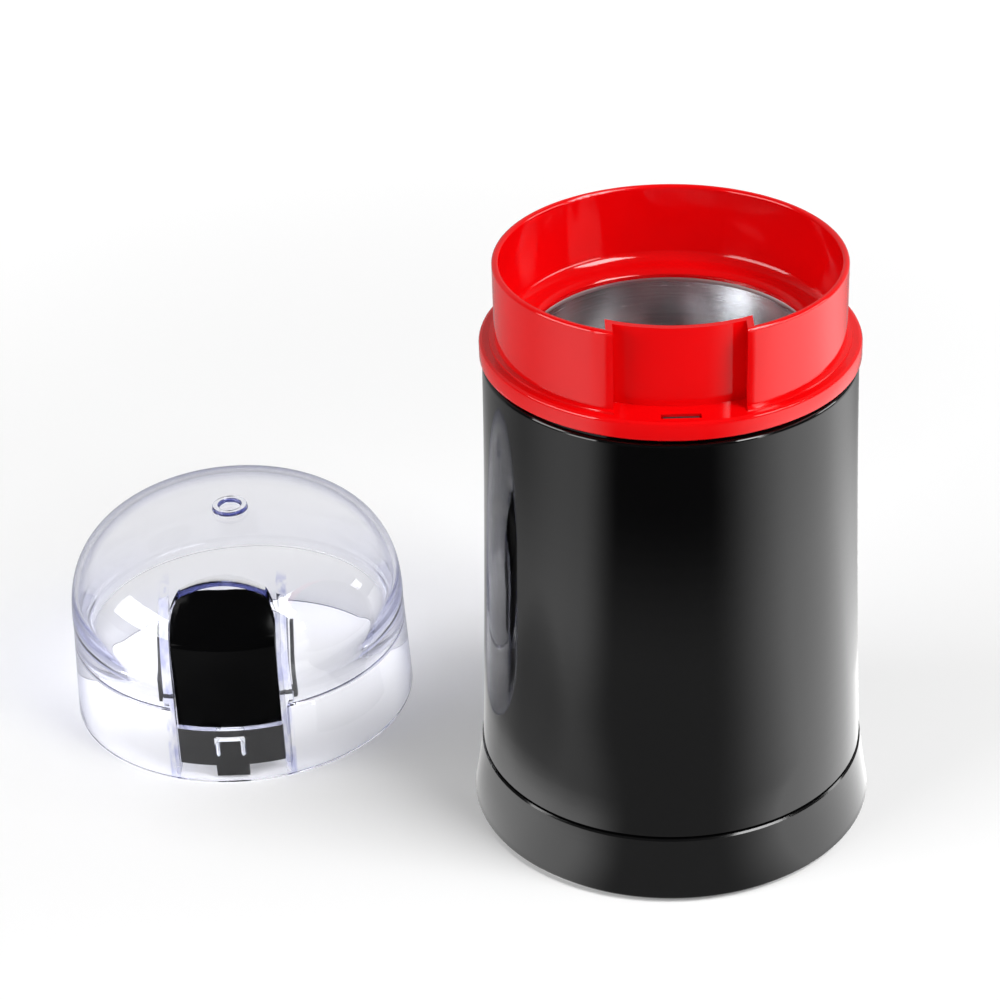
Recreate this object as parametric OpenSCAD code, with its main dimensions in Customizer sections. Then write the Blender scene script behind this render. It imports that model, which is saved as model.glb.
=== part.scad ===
// Electric spice grinder with a lift-off clear lid, millimetres, +Z up.
// Origin: centre of the base on the table. The front, with the switch slot, faces -Y.

/* [Foot ring] */
// How far the foot ring flares out, from the seam to its lower edge
base_flare = 2.4; // [1:0.1:4]
// How far the foot ring stands out past the body at the seam
seam_step = 0.4; // [0.2:0.1:1]
// Height of the foot ring, lower edge to seam
base_h = 17; // [15:0.5:22]
// Gap between the foot ring and the table
foot_gap = 0.8; // [0.5:0.1:1.2]
// Wall of the foot ring
base_wall = 2.2; // [1.8:0.1:2.6]
// Height of the spigot that the body slips over
base_spigot_h = 7; // [5:0.5:9]

/* [Body] */
// Height of the glossy body shell, seam to shoulder
body_h = 110.6; // [104:0.2:120]
// How much wider in radius the body is at the seam than at its top edge
body_taper = 3.5; // [1:0.1:5]
// Exponent of the body's flare, 1 is a straight cone
body_flare = 1.35; // [1:0.05:2]
// Wall of the body shell
body_wall = 2; // [1.6:0.1:2.1]
// Height of the seam groove between foot ring and body
groove_h = 0.8; // [0.4:0.1:1.4]
// Depth of the seam groove
groove_d = 1; // [0.6:0.1:1.3]

/* [Collar] */
// How far the collar's flange stands out past the body's top edge
flange_over = 0.6; // [0.2:0.1:1.5]
// Width of the shelf between the flange's edge and the upstand
shelf_w = 3.8; // [3.6:0.1:5]
// Distance from the edge of the bowl's rim to the outside of the upstand
collar_out = 5.2; // [5:0.1:7]
// Height of the flange
flange_h = 4.7; // [4:0.1:6]
// Dark gap between body and flange
flange_gap = 1.3; // [0.8:0.1:2]
// Wall of the flange's skirt
flange_wall = 1.8; // [1.4:0.1:2]
// Height of the upstand above the flange
collar_h = 20.5; // [16:0.5:24]
// Wall of the upstand
collar_wall = 1.8; // [1.4:0.1:2.2]
// Thickness of the shelf that joins flange, upstand and inner ledge
shelf_t = 2.2; // [1.8:0.1:2.6]
// Depth of the front recess
recess_d = 4.7; // [4.5:0.1:5]
// Width of the switch slot
slot_w = 9.4; // [9:0.1:12]
// Depth of the switch slot, front to back
slot_t = 2; // [1.8:0.1:2.2]

/* [Bowl] */
// Inner radius of the steel bowl at its rim
bowl_r = 34.8; // [31:0.1:39]
// Depth of the bowl
bowl_depth = 27; // [24:0.5:30]
// Sheet thickness of the bowl
bowl_t = 0.8; // [0.5:0.1:0.9]
// Radius of the bowl's lower corner
bowl_corner = 11; // [7:0.5:13]
// Width of the bowl's flat rim
bowl_rim_w = 3.2; // [2.6:0.1:3.3]
// Thickness of the rim seal
seal_t = 1; // [0.8:0.1:1.4]
// Radius of the hole for the shaft seal
seal_hole_r = 6; // [5.6:0.1:7]

/* [Blade] */
// Gap in radius between the blade's tips and the bowl's rim
tip_gap = 4.8; // [4:0.1:9]
// Width of the blade at the hub
blade_w = 13; // [11:0.5:15]
// Sheet thickness of the blade
blade_t = 1.6; // [1.2:0.1:2]
// Bend of the blade's arms, one up and one down, degrees
blade_bend = 9; // [5:0.5:12]
// Height of the blade's plane above the bowl's floor
blade_lift = 9; // [8:0.5:11]

/* [Motor] */
// Radius of the motor shaft
shaft_r = 4; // [3.5:0.1:4.2]
// Radius of the rotor's stack
rotor_r = 17.1; // [16.6:0.1:17.3]
// Height of stator and rotor stacks
stack_h = 24; // [20:1:26]
// Thickness of the stator's yoke behind the coils
yoke_end = 5; // [4:0.1:6]
// Thickness of the stator's yoke at the front and back
yoke_side = 4.4; // [3.6:0.1:5.4]
// Thickness of the field coils
coil_t = 5.2; // [4:0.1:6]
// Air gap between rotor and stator
air_gap = 0.5; // [0.4:0.1:0.8]
// Number of rotor slots
rotor_slots = 12; // [8:1:13]
// Number of commutator bars
comm_bars = 24; // [12:1:26]
// Radius of the commutator
comm_r = 10; // [8.5:0.5:10.5]
// Tip radius of the cooling fan
fan_r = 24; // [18:0.5:27]
// Number of fan blades
fan_blades = 9; // [5:1:11]

/* [Switch] */
// Travel of the switch rod
rod_travel = 2; // [1.5:0.1:2.4]
// Depth of the rod's top below the shelf
rod_drop = 0.5; // [0.3:0.1:1]

/* [Lid] */
// Place of the lid beside the grinder, along X
lid_x = -118; // [-140:1:-108]
// Place of the lid beside the grinder, along Y
lid_y = 52; // [-60:1:70]
// How much the lid's wall leans in, from its edge to where the dome starts
lid_draft = 1.3; // [0.8:0.1:2]
// Height of the lid's straight wall
lid_wall_h = 26; // [24:0.5:28]
// Height of the whole lid
lid_h = 58.5; // [56:0.5:64]
// Roundness of the dome, 2 is an ellipse
dome_e = 2.8; // [2.2:0.1:3.2]
// Wall of the lid
lid_wall = 1.8; // [1.5:0.1:2]
// Radius of the small ring on top of the dome
gate_r = 4.7; // [3.5:0.1:6]

/* [Button] */
// Width of the button
button_w = 27.6; // [26:0.1:28]
// Drop of the window's sill below the lid's shoulder
sill_drop = 4.2; // [0.5:0.1:5]
// Drop of the window's top below the dome's top
window_drop = 5.1; // [4:0.1:8]
// Thickness of the button's shell
button_t = 1.8; // [1.4:0.1:2.2]
// Travel of the button
button_travel = 2.5; // [2:0.1:3]

/* [Hidden] */
$fn = 96;
eps = 0.01;
// named clearances
run_fit = 0.06;
slip = 0.2;
slide_gap = 0.3;
tab_gap = 0.4;
pocket_wall = 1.1;
rod_gap = 0.5;
// radii, from the bowl outwards
ledge_r = bowl_r + slip;
carrier_r1 = bowl_r + 1.4;
carrier_r2 = bowl_r + bowl_rim_w;
collar_r = carrier_r2 + collar_out;
flange_r = collar_r + shelf_w;
body_top_r = flange_r - flange_over;
body_r = body_top_r + body_taper;
seam_r = body_r + seam_step;
base_r = seam_r + base_flare;
slot_r = collar_r;
blade_r = bowl_r - tip_gap;
lid_r = flange_r;
lid_top_r = lid_r - lid_draft;
// heights of the main faces
z_ring0 = foot_gap;
z_seam = z_ring0 + base_h;
z_body0 = z_seam + groove_h;
z_body1 = z_body0 + body_h;
z_flange0 = z_body1 + flange_gap;
z_shelf = z_flange0 + flange_h;
z_under = z_shelf - shelf_t;
z_rim = z_shelf + collar_h;
z_bowl_rim = z_under - seal_t;
z_bowl_under = z_bowl_rim - bowl_t;
z_bowl_floor = z_bowl_rim - bowl_depth;
// radii that follow from the shells
spigot_r = flange_r - flange_wall - slide_gap;
spigot_t = 1.6;
top_fillet = 1;
body_in_top = body_top_r - body_wall;
base_spigot_t = 1.8;
recess_r = collar_r - recess_d;
recess_w = button_w + 2 * (slide_gap + pocket_wall + slide_gap);
recess_wall = 1.6;
function body_at(z) = body_top_r
    + (body_r - body_top_r) * pow(max(0, (z_body1 - z) / body_h), body_flare);
function ring_at(z) = seam_r
    + (base_r - seam_r) * pow(max(0, (z_seam - z) / base_h), 1.25);
base_spigot_r = body_at(z_seam + base_spigot_h) - body_wall - slip;
// base cover and foot
cover_gap = 0.6;
cover_t = 2.4;
z_cover0 = z_ring0 + cover_gap;
z_cover1 = z_cover0 + cover_t;
cover_r = base_r - base_wall - slide_gap;
column_rad = 3.4;
column_r = body_in_top - column_rad;
foot_seat = 0.8;
post_h = 3.2;
z_post = z_cover1 + post_h;
z_web0 = z_seam + base_spigot_h + 1;
web_h = 16;
base_screw_r = 1.5;
base_head_r = 2.9;
base_head_h = 2.2;
base_screw_l = 13;
column_az = [0, 120, 240];
foot_w = 3.6;
foot_r2 = column_r - base_head_r - 1.5;
foot_r1 = foot_r2 - foot_w;
terminal_d = 9;
terminal_y = column_r - 8;
vent_n = 12;
vent_w = 2.4;
vent_r = 15;
shroud_t = 1.4;
shroud_h = 3;
shroud_r = terminal_y - terminal_d / 2 - shroud_t - 1.1;
vent_l = shroud_r - 1 - vent_r;
// collar screws, lugs and ears
ear_t = 2;
lug_h = 8;
ear_drop = 13;
z_ear1 = z_under - ear_drop;
z_ear0 = z_ear1 - ear_t;
z_lug0 = z_ear0 - lug_h;
boss_rad = 2.4;
ear_r = carrier_r2 + boss_rad + 0.4;
ear_az = [45, 135, 225, 315];
collar_screw_r = 1.2;
collar_head_r = 2.3;
collar_head_h = 2;
// motor carrier
carrier_floor_t = 2.4;
carrier_floor_gap = 3.8;
z_car1 = z_bowl_floor - bowl_t - carrier_floor_gap + carrier_floor_t;
z_car0 = z_car1 - carrier_floor_t;
leg_h = 16;
leg_r = 4;
z_stack1 = z_car0 - leg_h;
z_stack0 = z_stack1 - stack_h;
z_mid = (z_stack0 + z_stack1) / 2;
bore_r = rotor_r + air_gap;
bore_side = 1;
shoe_t = 2.6;
coil_x0 = bore_r + shoe_t + 0.4;
stator_w = 2 * (coil_x0 + coil_t + slip + yoke_end);
stator_d = 2 * (bore_r + bore_side + yoke_side);
leg_x = stator_w / 2 - 3.6;
leg_y = stator_d / 2 - 3.2;
motor_screw_r = 1.5;
motor_head_r = 2.8;
motor_head_h = 2.2;
// bearings
upper_boss_r = 11;
upper_bush_r = 8;
upper_bush_h = 11;
z_ub1 = z_car1 + 1;
z_ub0 = z_ub1 - upper_bush_h;
lower_bush_r = 7;
lower_bush_h = 10;
lower_boss_r = 9.4;
// lower bracket
bracket_t = 3;
post_l = 25;
z_br1 = z_stack0 - post_l;
z_br0 = z_br1 - bracket_t;
lower_post_r = 3.6;
z_lb0 = z_br0 - 4;
z_lb1 = z_lb0 + lower_bush_h;
// rotor
end_h = 7;
comm_h = 12;
comm_gap = 1;
z_comm1 = z_stack0 - end_h - comm_gap;
z_comm0 = z_comm1 - comm_h;
z_shaft0 = z_lb0 - 17;
slot_in_r = rotor_r - 5.1;
slot_bore = 2.6;
slot_mouth = 1.6;
wire_lift = 3;
fan_h = 8;
fan_hub_r = 8;
fan_root = 5;
z_fan0 = z_shaft0 + 2.5;
z_blade = z_bowl_floor + blade_lift;
hub_h = 4.2;
hub_r = 8.5;
stud_r = 3;
nut_r = 5;
nut_h = 3.6;
// brushes
brush_w = 5;
brush_h = 6;
brush_l = 14;
brush_spring_r = 1.7;
brush_wire = 0.3;
tube_wall = 0.8;
tube_l = 19;
z_brush = z_comm0 + comm_h / 2 - 1;
cap_t = 1.8;
brush_y0 = comm_r + run_fit;
tube_y0 = comm_r + 2;
tube_y1 = tube_y0 + tube_l;
// stator windings
pole_w = 16;
coil_side = 5.6;
// switch
tab_w = slot_w - 2 * tab_gap;
tab_t = slot_t - 2 * slide_gap;
rod_w = slot_w - 2 * rod_gap;
rod_t = tab_t - slip;
rod_y = -(slot_r - 0.1);
z_rod1 = z_shelf - rod_drop;
foot_t = 2.5;
z_foot1 = z_car0 - 1.5;
z_foot0 = z_foot1 - foot_t;
plunger_r = 1.3;
plunger_in = 5.6;
rod_foot_l = rod_t + plunger_in + plunger_r - 0.2;
plunger_y = rod_y + rod_t / 2 + plunger_in;
plunger_h = 5.6;
switch_top = z_foot0 - rod_travel - 0.4;
switch_h = 10.2;
switch_w = 19.8;
switch_t = 6.4;
switch_y0 = plunger_y - switch_t / 2;
switch_y1 = plunger_y + switch_t / 2;
z_sw0 = switch_top - switch_h;
shelf_sw_t = 2;
back_t = 1.8;
spring_r = 1.3;
spring_wire = 0.25;
coil_steps = 14;
coil_sides = 6;
guide_wall = 1.8;
// cord inlet, between the base ring's ledge and its spigot
ledge_t = 2;
spigot_web = 2;
gland_room = z_seam - spigot_web - z_cover1 - ledge_t;
gland_z = z_cover1 + ledge_t + gland_room / 2;
gland_tail = gland_room / 2 - 0.1;
gland_neck = gland_tail - 0.6;
gland_bore = gland_neck - 1;
gland_head = gland_tail + 1.1;
gland_head_t = 1.6;
gland_seat = ring_at(gland_z) - 1;
gland_pad = 3.6;
gland_tail_t = 1.6;
// lid
lid_seat_z = collar_h + 0.1;
lid_seat_r = collar_r - 1.6;
sill_z = lid_seat_z - sill_drop;
window_w = button_w + 2 * slide_gap;
window_top = lid_h - window_drop;
window_corner = 5.5;
window_crown = 70;
pocket_in = sqrt(pow(recess_r + 0.91, 2) - pow(window_w / 2, 2));
panel_z0 = 4;
tab_z0 = 0.6;
tab_top = 12.8;
tab_proud = 0.25;
pad_in_r = pocket_in - 4;
pad_in_z = window_top - 1;
cover_z1 = lid_wall_h + 7;
cover_top_y = pad_in_r - 1.4;
window_in = cover_top_y - 5.4;
pocket_z0 = 0.9;
plate_t = 1.6;
plate_lap = 0.5;
plate_w = window_w + 2 * plate_lap;
jamb_t = 2.4;
jamb_z0 = lid_seat_z + 0.6;
clip_t = 0.8;
clip_foot_h = 3;
cover_w = window_w + 2 * (jamb_t + slip + clip_t);
cover_z0 = lid_seat_z + 2;
tab_groove_in = tab_w / 2 + 0.6;
tab_groove_w = 0.8;
tab_groove_t = 0.6;
tab_groove_top = tab_top + 1.4;
gate_t = 1.6;
gate_proud = 0.9;
gate_root = 0.5;
shelf_z = lid_seat_z + 2.4;
shelf_side = 3.5;
shelf_plate_t = 1.4;
spring_x = 4.5;
spring_y = pocket_in + 2.8;
button_spring_r = 1.5;
button_wire = 0.35;
spring_room = 9.5;
rib_z = shelf_z + spring_room + button_travel;
pad_over_rib = 6.2;
pad_z = rib_z + pad_over_rib;
cover_z2 = pad_z + 1.8;

// ---------- shared shapes ----------
module ring(r1, r2, h) {
    difference() {
        cylinder(r = r2, h = h);
        translate([0, 0, -1]) cylinder(r = r1, h = h + 2);
    }
}
module rrect(w, h, r) {
    square([w - 2 * r, h], center = true);
    square([w, h - 2 * r], center = true);
    for (x = [-1, 1], y = [-1, 1])
        translate([x * (w / 2 - r), y * (h / 2 - r)]) circle(r = r, $fn = 48);
}
// compression spring of wire radius w, from z 0 to h, with half a turn closed at each end
function coil_z(u, turns) = min(1, max(0, (u * turns - 0.5) / (turns - 1)));
module coil(r, w, h, turns) {
    n = round(coil_steps * turns);
    k = coil_sides;
    pts = [for (i = [0 : n], j = [0 : k - 1]) let (a = 360 * turns * i / n, b = 360 * j / k,
        d = r + w * cos(b)) [d * cos(a), d * sin(a),
        w + (h - 2 * w) * coil_z(i / n, turns) + w * sin(b)]];
    sides = [for (i = [0 : n - 1], j = [0 : k - 1])
        [i * k + j, i * k + (j + 1) % k, (i + 1) * k + (j + 1) % k, (i + 1) * k + j]];
    ends = [[for (j = [k - 1 : -1 : 0]) j], [for (j = [0 : k - 1]) n * k + j]];
    polyhedron(points = pts, faces = concat(sides, ends), convexity = 8);
}
module at_each(az, r) {
    for (a = az) rotate([0, 0, a]) translate([r, 0, 0]) children();
}

// ---------- outer shells ----------
module housing_shell() {
    n = 24;
    step = (body_h - top_fillet) / n;
    color("#151414") difference() {
        union() {
            rotate_extrude() polygon(concat(
                [for (i = [0 : n]) let (z = z_body0 + i * step) [body_at(z), z]],
                [for (a = [15 : 15 : 90]) [body_top_r - top_fillet * (1 - cos(a)),
                    z_body1 - top_fillet * (1 - sin(a))]],
                [[spigot_r, z_body1], [spigot_r, z_under],
                 [spigot_r - spigot_t, z_under], [spigot_r - spigot_t, z_body1 - 1.6],
                 [body_in_top, z_body1 - 2.8]],
                [for (i = [n - 1 : -1 : 0]) let (z = z_body0 + i * step)
                    [body_at(z) - body_wall, z]]));
            // lugs under the carrier's ears
            intersection() {
                at_each(ear_az, 0) translate([0, -boss_rad - 0.6, z_lug0])
                    cube([body_top_r, 2 * boss_rad + 1.2, lug_h]);
                difference() {
                    cylinder(r = body_top_r - 0.6, h = z_under);
                    cylinder(r = carrier_r2 + slide_gap, h = z_under);
                }
            }
            // screw columns with their webs
            at_each(column_az, column_r) translate([0, 0, z_post])
                cylinder(r = column_rad, h = z_web0 + web_h - z_post);
            intersection() {
                at_each(column_az, column_r) translate([0, -1, z_web0])
                    cube([body_r - column_r, 2, web_h]);
                cylinder(r = body_at(z_web0 + web_h) - 0.6, h = z_under);
            }
        }
        at_each(ear_az, ear_r) translate([0, 0, z_lug0 - 1])
            cylinder(r = collar_screw_r + slip, h = lug_h + 2);
        at_each(column_az, column_r) translate([0, 0, z_post - 1])
            cylinder(r = base_screw_r, h = base_screw_l + 2);
        // notch in the spigot for the switch rod
        intersection() {
            translate([-slot_w / 2 - 1, -flange_r, z_body1 - 4])
                cube([slot_w + 2, flange_r - body_in_top + 2.4, z_shelf - z_body1 + 4]);
            union() {
                cylinder(r = body_in_top, h = z_under + 1);
                translate([0, 0, z_body1]) cylinder(r = spigot_r + 1, h = z_shelf - z_body1);
            }
        }
    }
}
module base_ring() {
    n = 10;
    z_led0 = z_cover1;
    z_led1 = z_cover1 + ledge_t;
    z_top = z_seam - spigot_web;
    in_r = base_r - base_wall;
    color("#171617") difference() {
        union() {
            rotate_extrude() {
                polygon(concat([[in_r, z_ring0], [base_r - 0.6, z_ring0],
                    [base_r - 0.05, z_ring0 + 0.6]],
                    [for (i = [1 : n - 1]) let (z = z_ring0 + base_h * i / n) [ring_at(z), z]],
                    [[seam_r, z_seam - 0.4], [seam_r - 0.4, z_seam]],
                    [[body_r - groove_d, z_seam], [body_r - groove_d, z_body0],
                     [base_spigot_r, z_body0], [base_spigot_r, z_seam + base_spigot_h],
                     [base_spigot_r - base_spigot_t, z_seam + base_spigot_h],
                     [base_spigot_r - base_spigot_t, z_top]],
                    [[ring_at(z_top) - base_wall, z_top]],
                    [for (i = [n - 2 : -1 : 4]) let (z = z_ring0 + base_h * i / n)
                        [ring_at(z) - base_wall, z]],
                    [[in_r, z_led1]]));
                translate([cover_r - 4, z_led0]) square([in_r - cover_r + 4.2, ledge_t]);
            }
            // pad behind the cord gland
            intersection() {
                translate([0, 0, gland_z]) rotate([-90, 0, 0])
                    translate([0, 0, gland_seat - gland_pad])
                    cylinder(r = gland_head + 2, h = gland_pad);
                translate([0, 0, z_led0]) cylinder(r = seam_r - 0.6, h = z_top - z_led0 + 1);
            }
        }
        translate([0, 0, gland_z]) rotate([-90, 0, 0]) {
            cylinder(r = gland_neck, h = base_r + 5);
            translate([0, 0, gland_seat]) cylinder(r = gland_head + slip, h = 10);
        }
    }
}
module bottom_cover() {
    color("#1b1b1c") difference() {
        union() {
            translate([0, 0, z_cover0]) cylinder(r = cover_r, h = cover_t);
            at_each(column_az, column_r) translate([0, 0, z_cover0])
                cylinder(r = base_head_r + 1.6, h = z_post - z_cover0);
            translate([0, 0, z_cover1]) ring(shroud_r, shroud_r + shroud_t, shroud_h);
        }
        translate([0, 0, z_cover0 - 1]) ring(foot_r1 - 0.1, foot_r2 + 0.1, foot_seat + 1);
        at_each(column_az, column_r) translate([0, 0, z_cover0 - 1]) {
            cylinder(r = base_screw_r + slip, h = 12);
            cylinder(r = base_head_r + slip, h = z_post - z_cover0 - 1.2);
        }
        at_each([for (i = [0 : vent_n - 1]) i * 360 / vent_n], vent_r)
            translate([vent_l / 2, 0, z_cover0 - 1]) linear_extrude(cover_t + 2)
            rrect(vent_l, vent_w, vent_w / 2 - eps);
    }
}
module foot_ring() {
    color("#2a2a2a") ring(foot_r1, foot_r2, z_cover0 + foot_seat);
}
module base_screws() {
    z_head = z_post - 2.2 - base_head_h;
    color("silver") at_each(column_az, column_r) difference() {
        union() {
            translate([0, 0, z_post - 2.2 - base_head_h])
                cylinder(r = base_head_r, h = base_head_h);
            translate([0, 0, z_post - 2.3]) cylinder(r = base_screw_r, h = base_screw_l);
        }
        translate([0, 0, z_head - 1]) linear_extrude(2.2) {
            square([3.4, 0.9], center = true);
            square([0.9, 3.4], center = true);
        }
    }
}
module cord_gland() {
    y0 = gland_seat - gland_pad;
    color("#202022") translate([0, 0, gland_z]) rotate([-90, 0, 0]) difference() {
        union() {
            translate([0, 0, gland_seat]) cylinder(r = gland_head, h = gland_head_t);
            translate([0, 0, y0]) cylinder(r = gland_neck, h = gland_pad + 0.1);
            translate([0, 0, y0 - gland_tail_t]) cylinder(r = gland_tail,
                h = gland_tail_t);
        }
        translate([0, 0, y0 - 5]) cylinder(r = gland_bore, h = 20);
    }
}
module terminal_block() {
    w = 18;
    d = terminal_d;
    h = 9;
    y = terminal_y;
    color("ivory") difference() {
        translate([-w / 2, y - d / 2, z_cover1]) cube([w, d, h]);
        for (x = [-1, 1]) {
            translate([x * w / 4, y, z_cover1 + h - 5]) cylinder(r = 2, h = 6);
            translate([x * w / 4, y - d, z_cover1 + h / 2]) rotate([-90, 0, 0])
                cylinder(r = 1.5, h = 2 * d);
        }
    }
}

// ---------- collar and bowl ----------
module recess_cut(r1, wid, z0, z1) {
    intersection() {
        translate([0, 0, z0]) ring(r1, collar_r + 2, z1 - z0);
        translate([-wid / 2, -collar_r - 2, z0]) cube([wid, collar_r, z1 - z0]);
    }
}
module cup_collar() {
    in_r = collar_r - collar_wall;
    lip = collar_wall / 2;
    color("#d80a12") difference() {
        union() {
            difference() {
                rotate_extrude() union() {
                    // flange, shelf and ledge
                    polygon([[flange_r - flange_wall, z_flange0],
                        [flange_r - 0.4, z_flange0], [flange_r, z_flange0 + 0.4],
                        [flange_r, z_shelf - 0.9], [flange_r - 0.25, z_shelf - 0.3],
                        [flange_r - 0.9, z_shelf], [collar_r + 1.3, z_shelf],
                        [collar_r + 1.2, z_shelf + 0.5], [collar_r, z_shelf + 0.6],
                        [in_r, z_shelf + 2.6], [in_r - 1.2, z_shelf + 0.9],
                        [ledge_r + 0.8, z_shelf - 0.5],
                        [ledge_r, z_shelf - 1.2], [ledge_r, z_under],
                        [flange_r - flange_wall, z_under]]);
                    // upstand with a rounded lip
                    translate([in_r, z_shelf - 0.5])
                        square([collar_wall, collar_h + 0.5 - lip]);
                    translate([in_r + lip, z_rim - lip]) circle(r = lip, $fn = 32);
                }
                recess_cut(recess_r, recess_w, z_shelf, z_rim + 1);
            }
            // inner wall of the recess
            difference() {
                intersection() {
                    translate([0, 0, z_shelf - 0.4])
                        ring(recess_r - recess_wall, collar_r - 0.3, collar_h + 0.2);
                    translate([-recess_w / 2 - recess_wall, -collar_r, z_shelf - 0.4])
                        cube([recess_w + 2 * recess_wall, collar_r, collar_h + 0.2]);
                }
                recess_cut(recess_r, recess_w, z_shelf, z_rim + 1);
            }
            // screw bosses
            at_each(ear_az, ear_r) translate([0, 0, z_ear1])
                cylinder(r = boss_rad, h = ear_drop + 0.5);
        }
        translate([-slot_w / 2, -slot_r - slot_t / 2, z_under - 3])
            cube([slot_w, slot_t, 6]);
        at_each(ear_az, ear_r) translate([0, 0, z_ear1 - 1])
            cylinder(r = collar_screw_r, h = ear_drop - 1);
    }
}
module bowl_seal() {
    color("#e8e6e0") translate([0, 0, z_bowl_rim])
        ring(bowl_r + 1.2, bowl_r + bowl_rim_w - 0.2, seal_t);
}
function bowl_pts(t) = concat(
    [[bowl_r + t, z_bowl_rim - (t > 0 ? bowl_t : 0)]],
    [for (a = [0 : 9 : 90]) [bowl_r - bowl_corner + (bowl_corner + t) * cos(a),
        z_bowl_floor + bowl_corner - (bowl_corner + t) * sin(a)]],
    [[seal_hole_r + 4, z_bowl_floor - t], [seal_hole_r + 2, z_bowl_floor + 1.6 - t],
     [seal_hole_r, z_bowl_floor + 1.6 - t]]);
function turned(v) = [for (i = [len(v) - 1 : -1 : 0]) v[i]];
module grinding_bowl() {
    color("#c9cbcc") rotate_extrude() polygon(concat(
        [[bowl_r + bowl_rim_w, z_bowl_under], [bowl_r + bowl_rim_w, z_bowl_rim]],
        bowl_pts(0), turned(bowl_pts(bowl_t))));
}
module shaft_seal() {
    z0 = z_bowl_floor + 1.6;
    color("#303030") rotate_extrude() polygon([[shaft_r + 0.1, z_ub1 + 0.2],
        [seal_hole_r + 1.2, z_ub1 + 0.2], [seal_hole_r + 1.2, z0 - bowl_t],
        [seal_hole_r, z0 - bowl_t], [seal_hole_r, z0], [seal_hole_r + 1.2, z0],
        [seal_hole_r + 0.4, z0 + 1.2], [shaft_r + 0.1, z0 + 2]]);
}

// ---------- motor frame ----------
module motor_carrier() {
    color("#3a3d40") difference() {
        union() {
            translate([0, 0, z_car0]) ring(carrier_r1, carrier_r2, z_bowl_under - z_car0);
            translate([0, 0, z_car0]) cylinder(r = carrier_r2, h = carrier_floor_t);
            translate([0, 0, z_ub0]) cylinder(r = upper_boss_r, h = z_ub1 - z_ub0);
            // ears that the collar's screws clamp
            intersection() {
                at_each(ear_az, 0) translate([0, -3, z_ear0]) cube([ear_r + 2.4, 6, ear_t]);
                translate([0, 0, z_ear0]) ring(carrier_r2 - 0.5, ear_r + 2.4, ear_t);
            }
            // legs that stand on the stator
            for (x = [-1, 1], y = [-1, 1]) translate([x * leg_x, y * leg_y, z_stack1])
                cylinder(r = leg_r, h = leg_h + 0.5);
            // floor ribs
            at_each([0, 90, 180, 270], upper_boss_r - 1)
                translate([0, -1, z_car0 - 2.5]) cube([14, 2, 3]);
            // guide channel of the switch rod
            translate([-rod_w / 2 - slide_gap - guide_wall, rod_y - rod_t / 2 + 0.2, z_car0])
                cube([rod_w + 2 * slide_gap + 2 * guide_wall,
                    -rod_y + rod_t / 2 - carrier_r1 - 1, z_ear0 - z_car0]);
        }
        translate([0, 0, z_ub0 - 1]) cylinder(r = upper_bush_r, h = upper_bush_h + 2);
        translate([-rod_w / 2 - slide_gap, rod_y - 3, z_car0 - 1])
            cube([rod_w + 2 * slide_gap, 3 + rod_t / 2 + slide_gap, z_ear0 - z_car0 + 2]);
        at_each(ear_az, ear_r) translate([0, 0, z_ear0 - 1])
            cylinder(r = collar_screw_r + slip, h = 4);
        for (x = [-1, 1], y = [-1, 1]) translate([x * leg_x, y * leg_y, z_stack1 - 1])
            cylinder(r = motor_screw_r, h = leg_h - 2);
        // air windows in the floor
        at_each([for (i = [0 : 3]) i * 90 + 22.5, for (i = [0 : 3]) i * 90 + 67.5], 20)
            translate([0, 0, z_car0 - 1]) cylinder(r = 3.4, h = carrier_floor_t + 2);
    }
}
module collar_screws() {
    color("silver") at_each(ear_az, ear_r) difference() {
        union() {
            translate([0, 0, z_lug0 - collar_head_h])
                cylinder(r = collar_head_r, h = collar_head_h);
            translate([0, 0, z_lug0 - 0.1]) cylinder(r = collar_screw_r,
                h = z_ear1 - z_lug0 + ear_drop - 3);
        }
        translate([0, 0, z_lug0 - collar_head_h - 1]) linear_extrude(2) {
            square([2.8, 0.8], center = true);
            square([0.8, 2.8], center = true);
        }
    }
}
module stator_core() {
    color("#8d9096") translate([0, 0, z_stack0]) linear_extrude(stack_h) difference() {
        union() {
            difference() {
                rrect(stator_w, stator_d, 6);
                rrect(stator_w - 2 * yoke_end, stator_d - 2 * yoke_side, 3);
            }
            difference() {
                union() {
                    square([stator_w - yoke_end, pole_w], center = true);
                    intersection() {
                        circle(r = bore_r + shoe_t);
                        square([2 * bore_r + 6, 1.5 * bore_r], center = true);
                    }
                }
                circle(r = bore_r);
                square([2, 3 * bore_r], center = true);
            }
        }
        for (x = [-1, 1], y = [-1, 1]) translate([x * leg_x, y * leg_y])
            circle(r = motor_screw_r + 0.1, $fn = 32);
    }
}
module field_coils() {
    oy = pole_w + 2 * coil_side;
    oz = stack_h + 2 * coil_side;
    color("#b5652a") for (s = [-1, 1]) translate([s > 0 ? coil_x0 : -coil_x0 - coil_t, 0, z_mid])
        rotate([90, 0, 90]) linear_extrude(coil_t) difference() {
            rrect(oy, oz, 5);
            square([pole_w + 0.2, stack_h + 0.2], center = true);
        }
}
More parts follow.
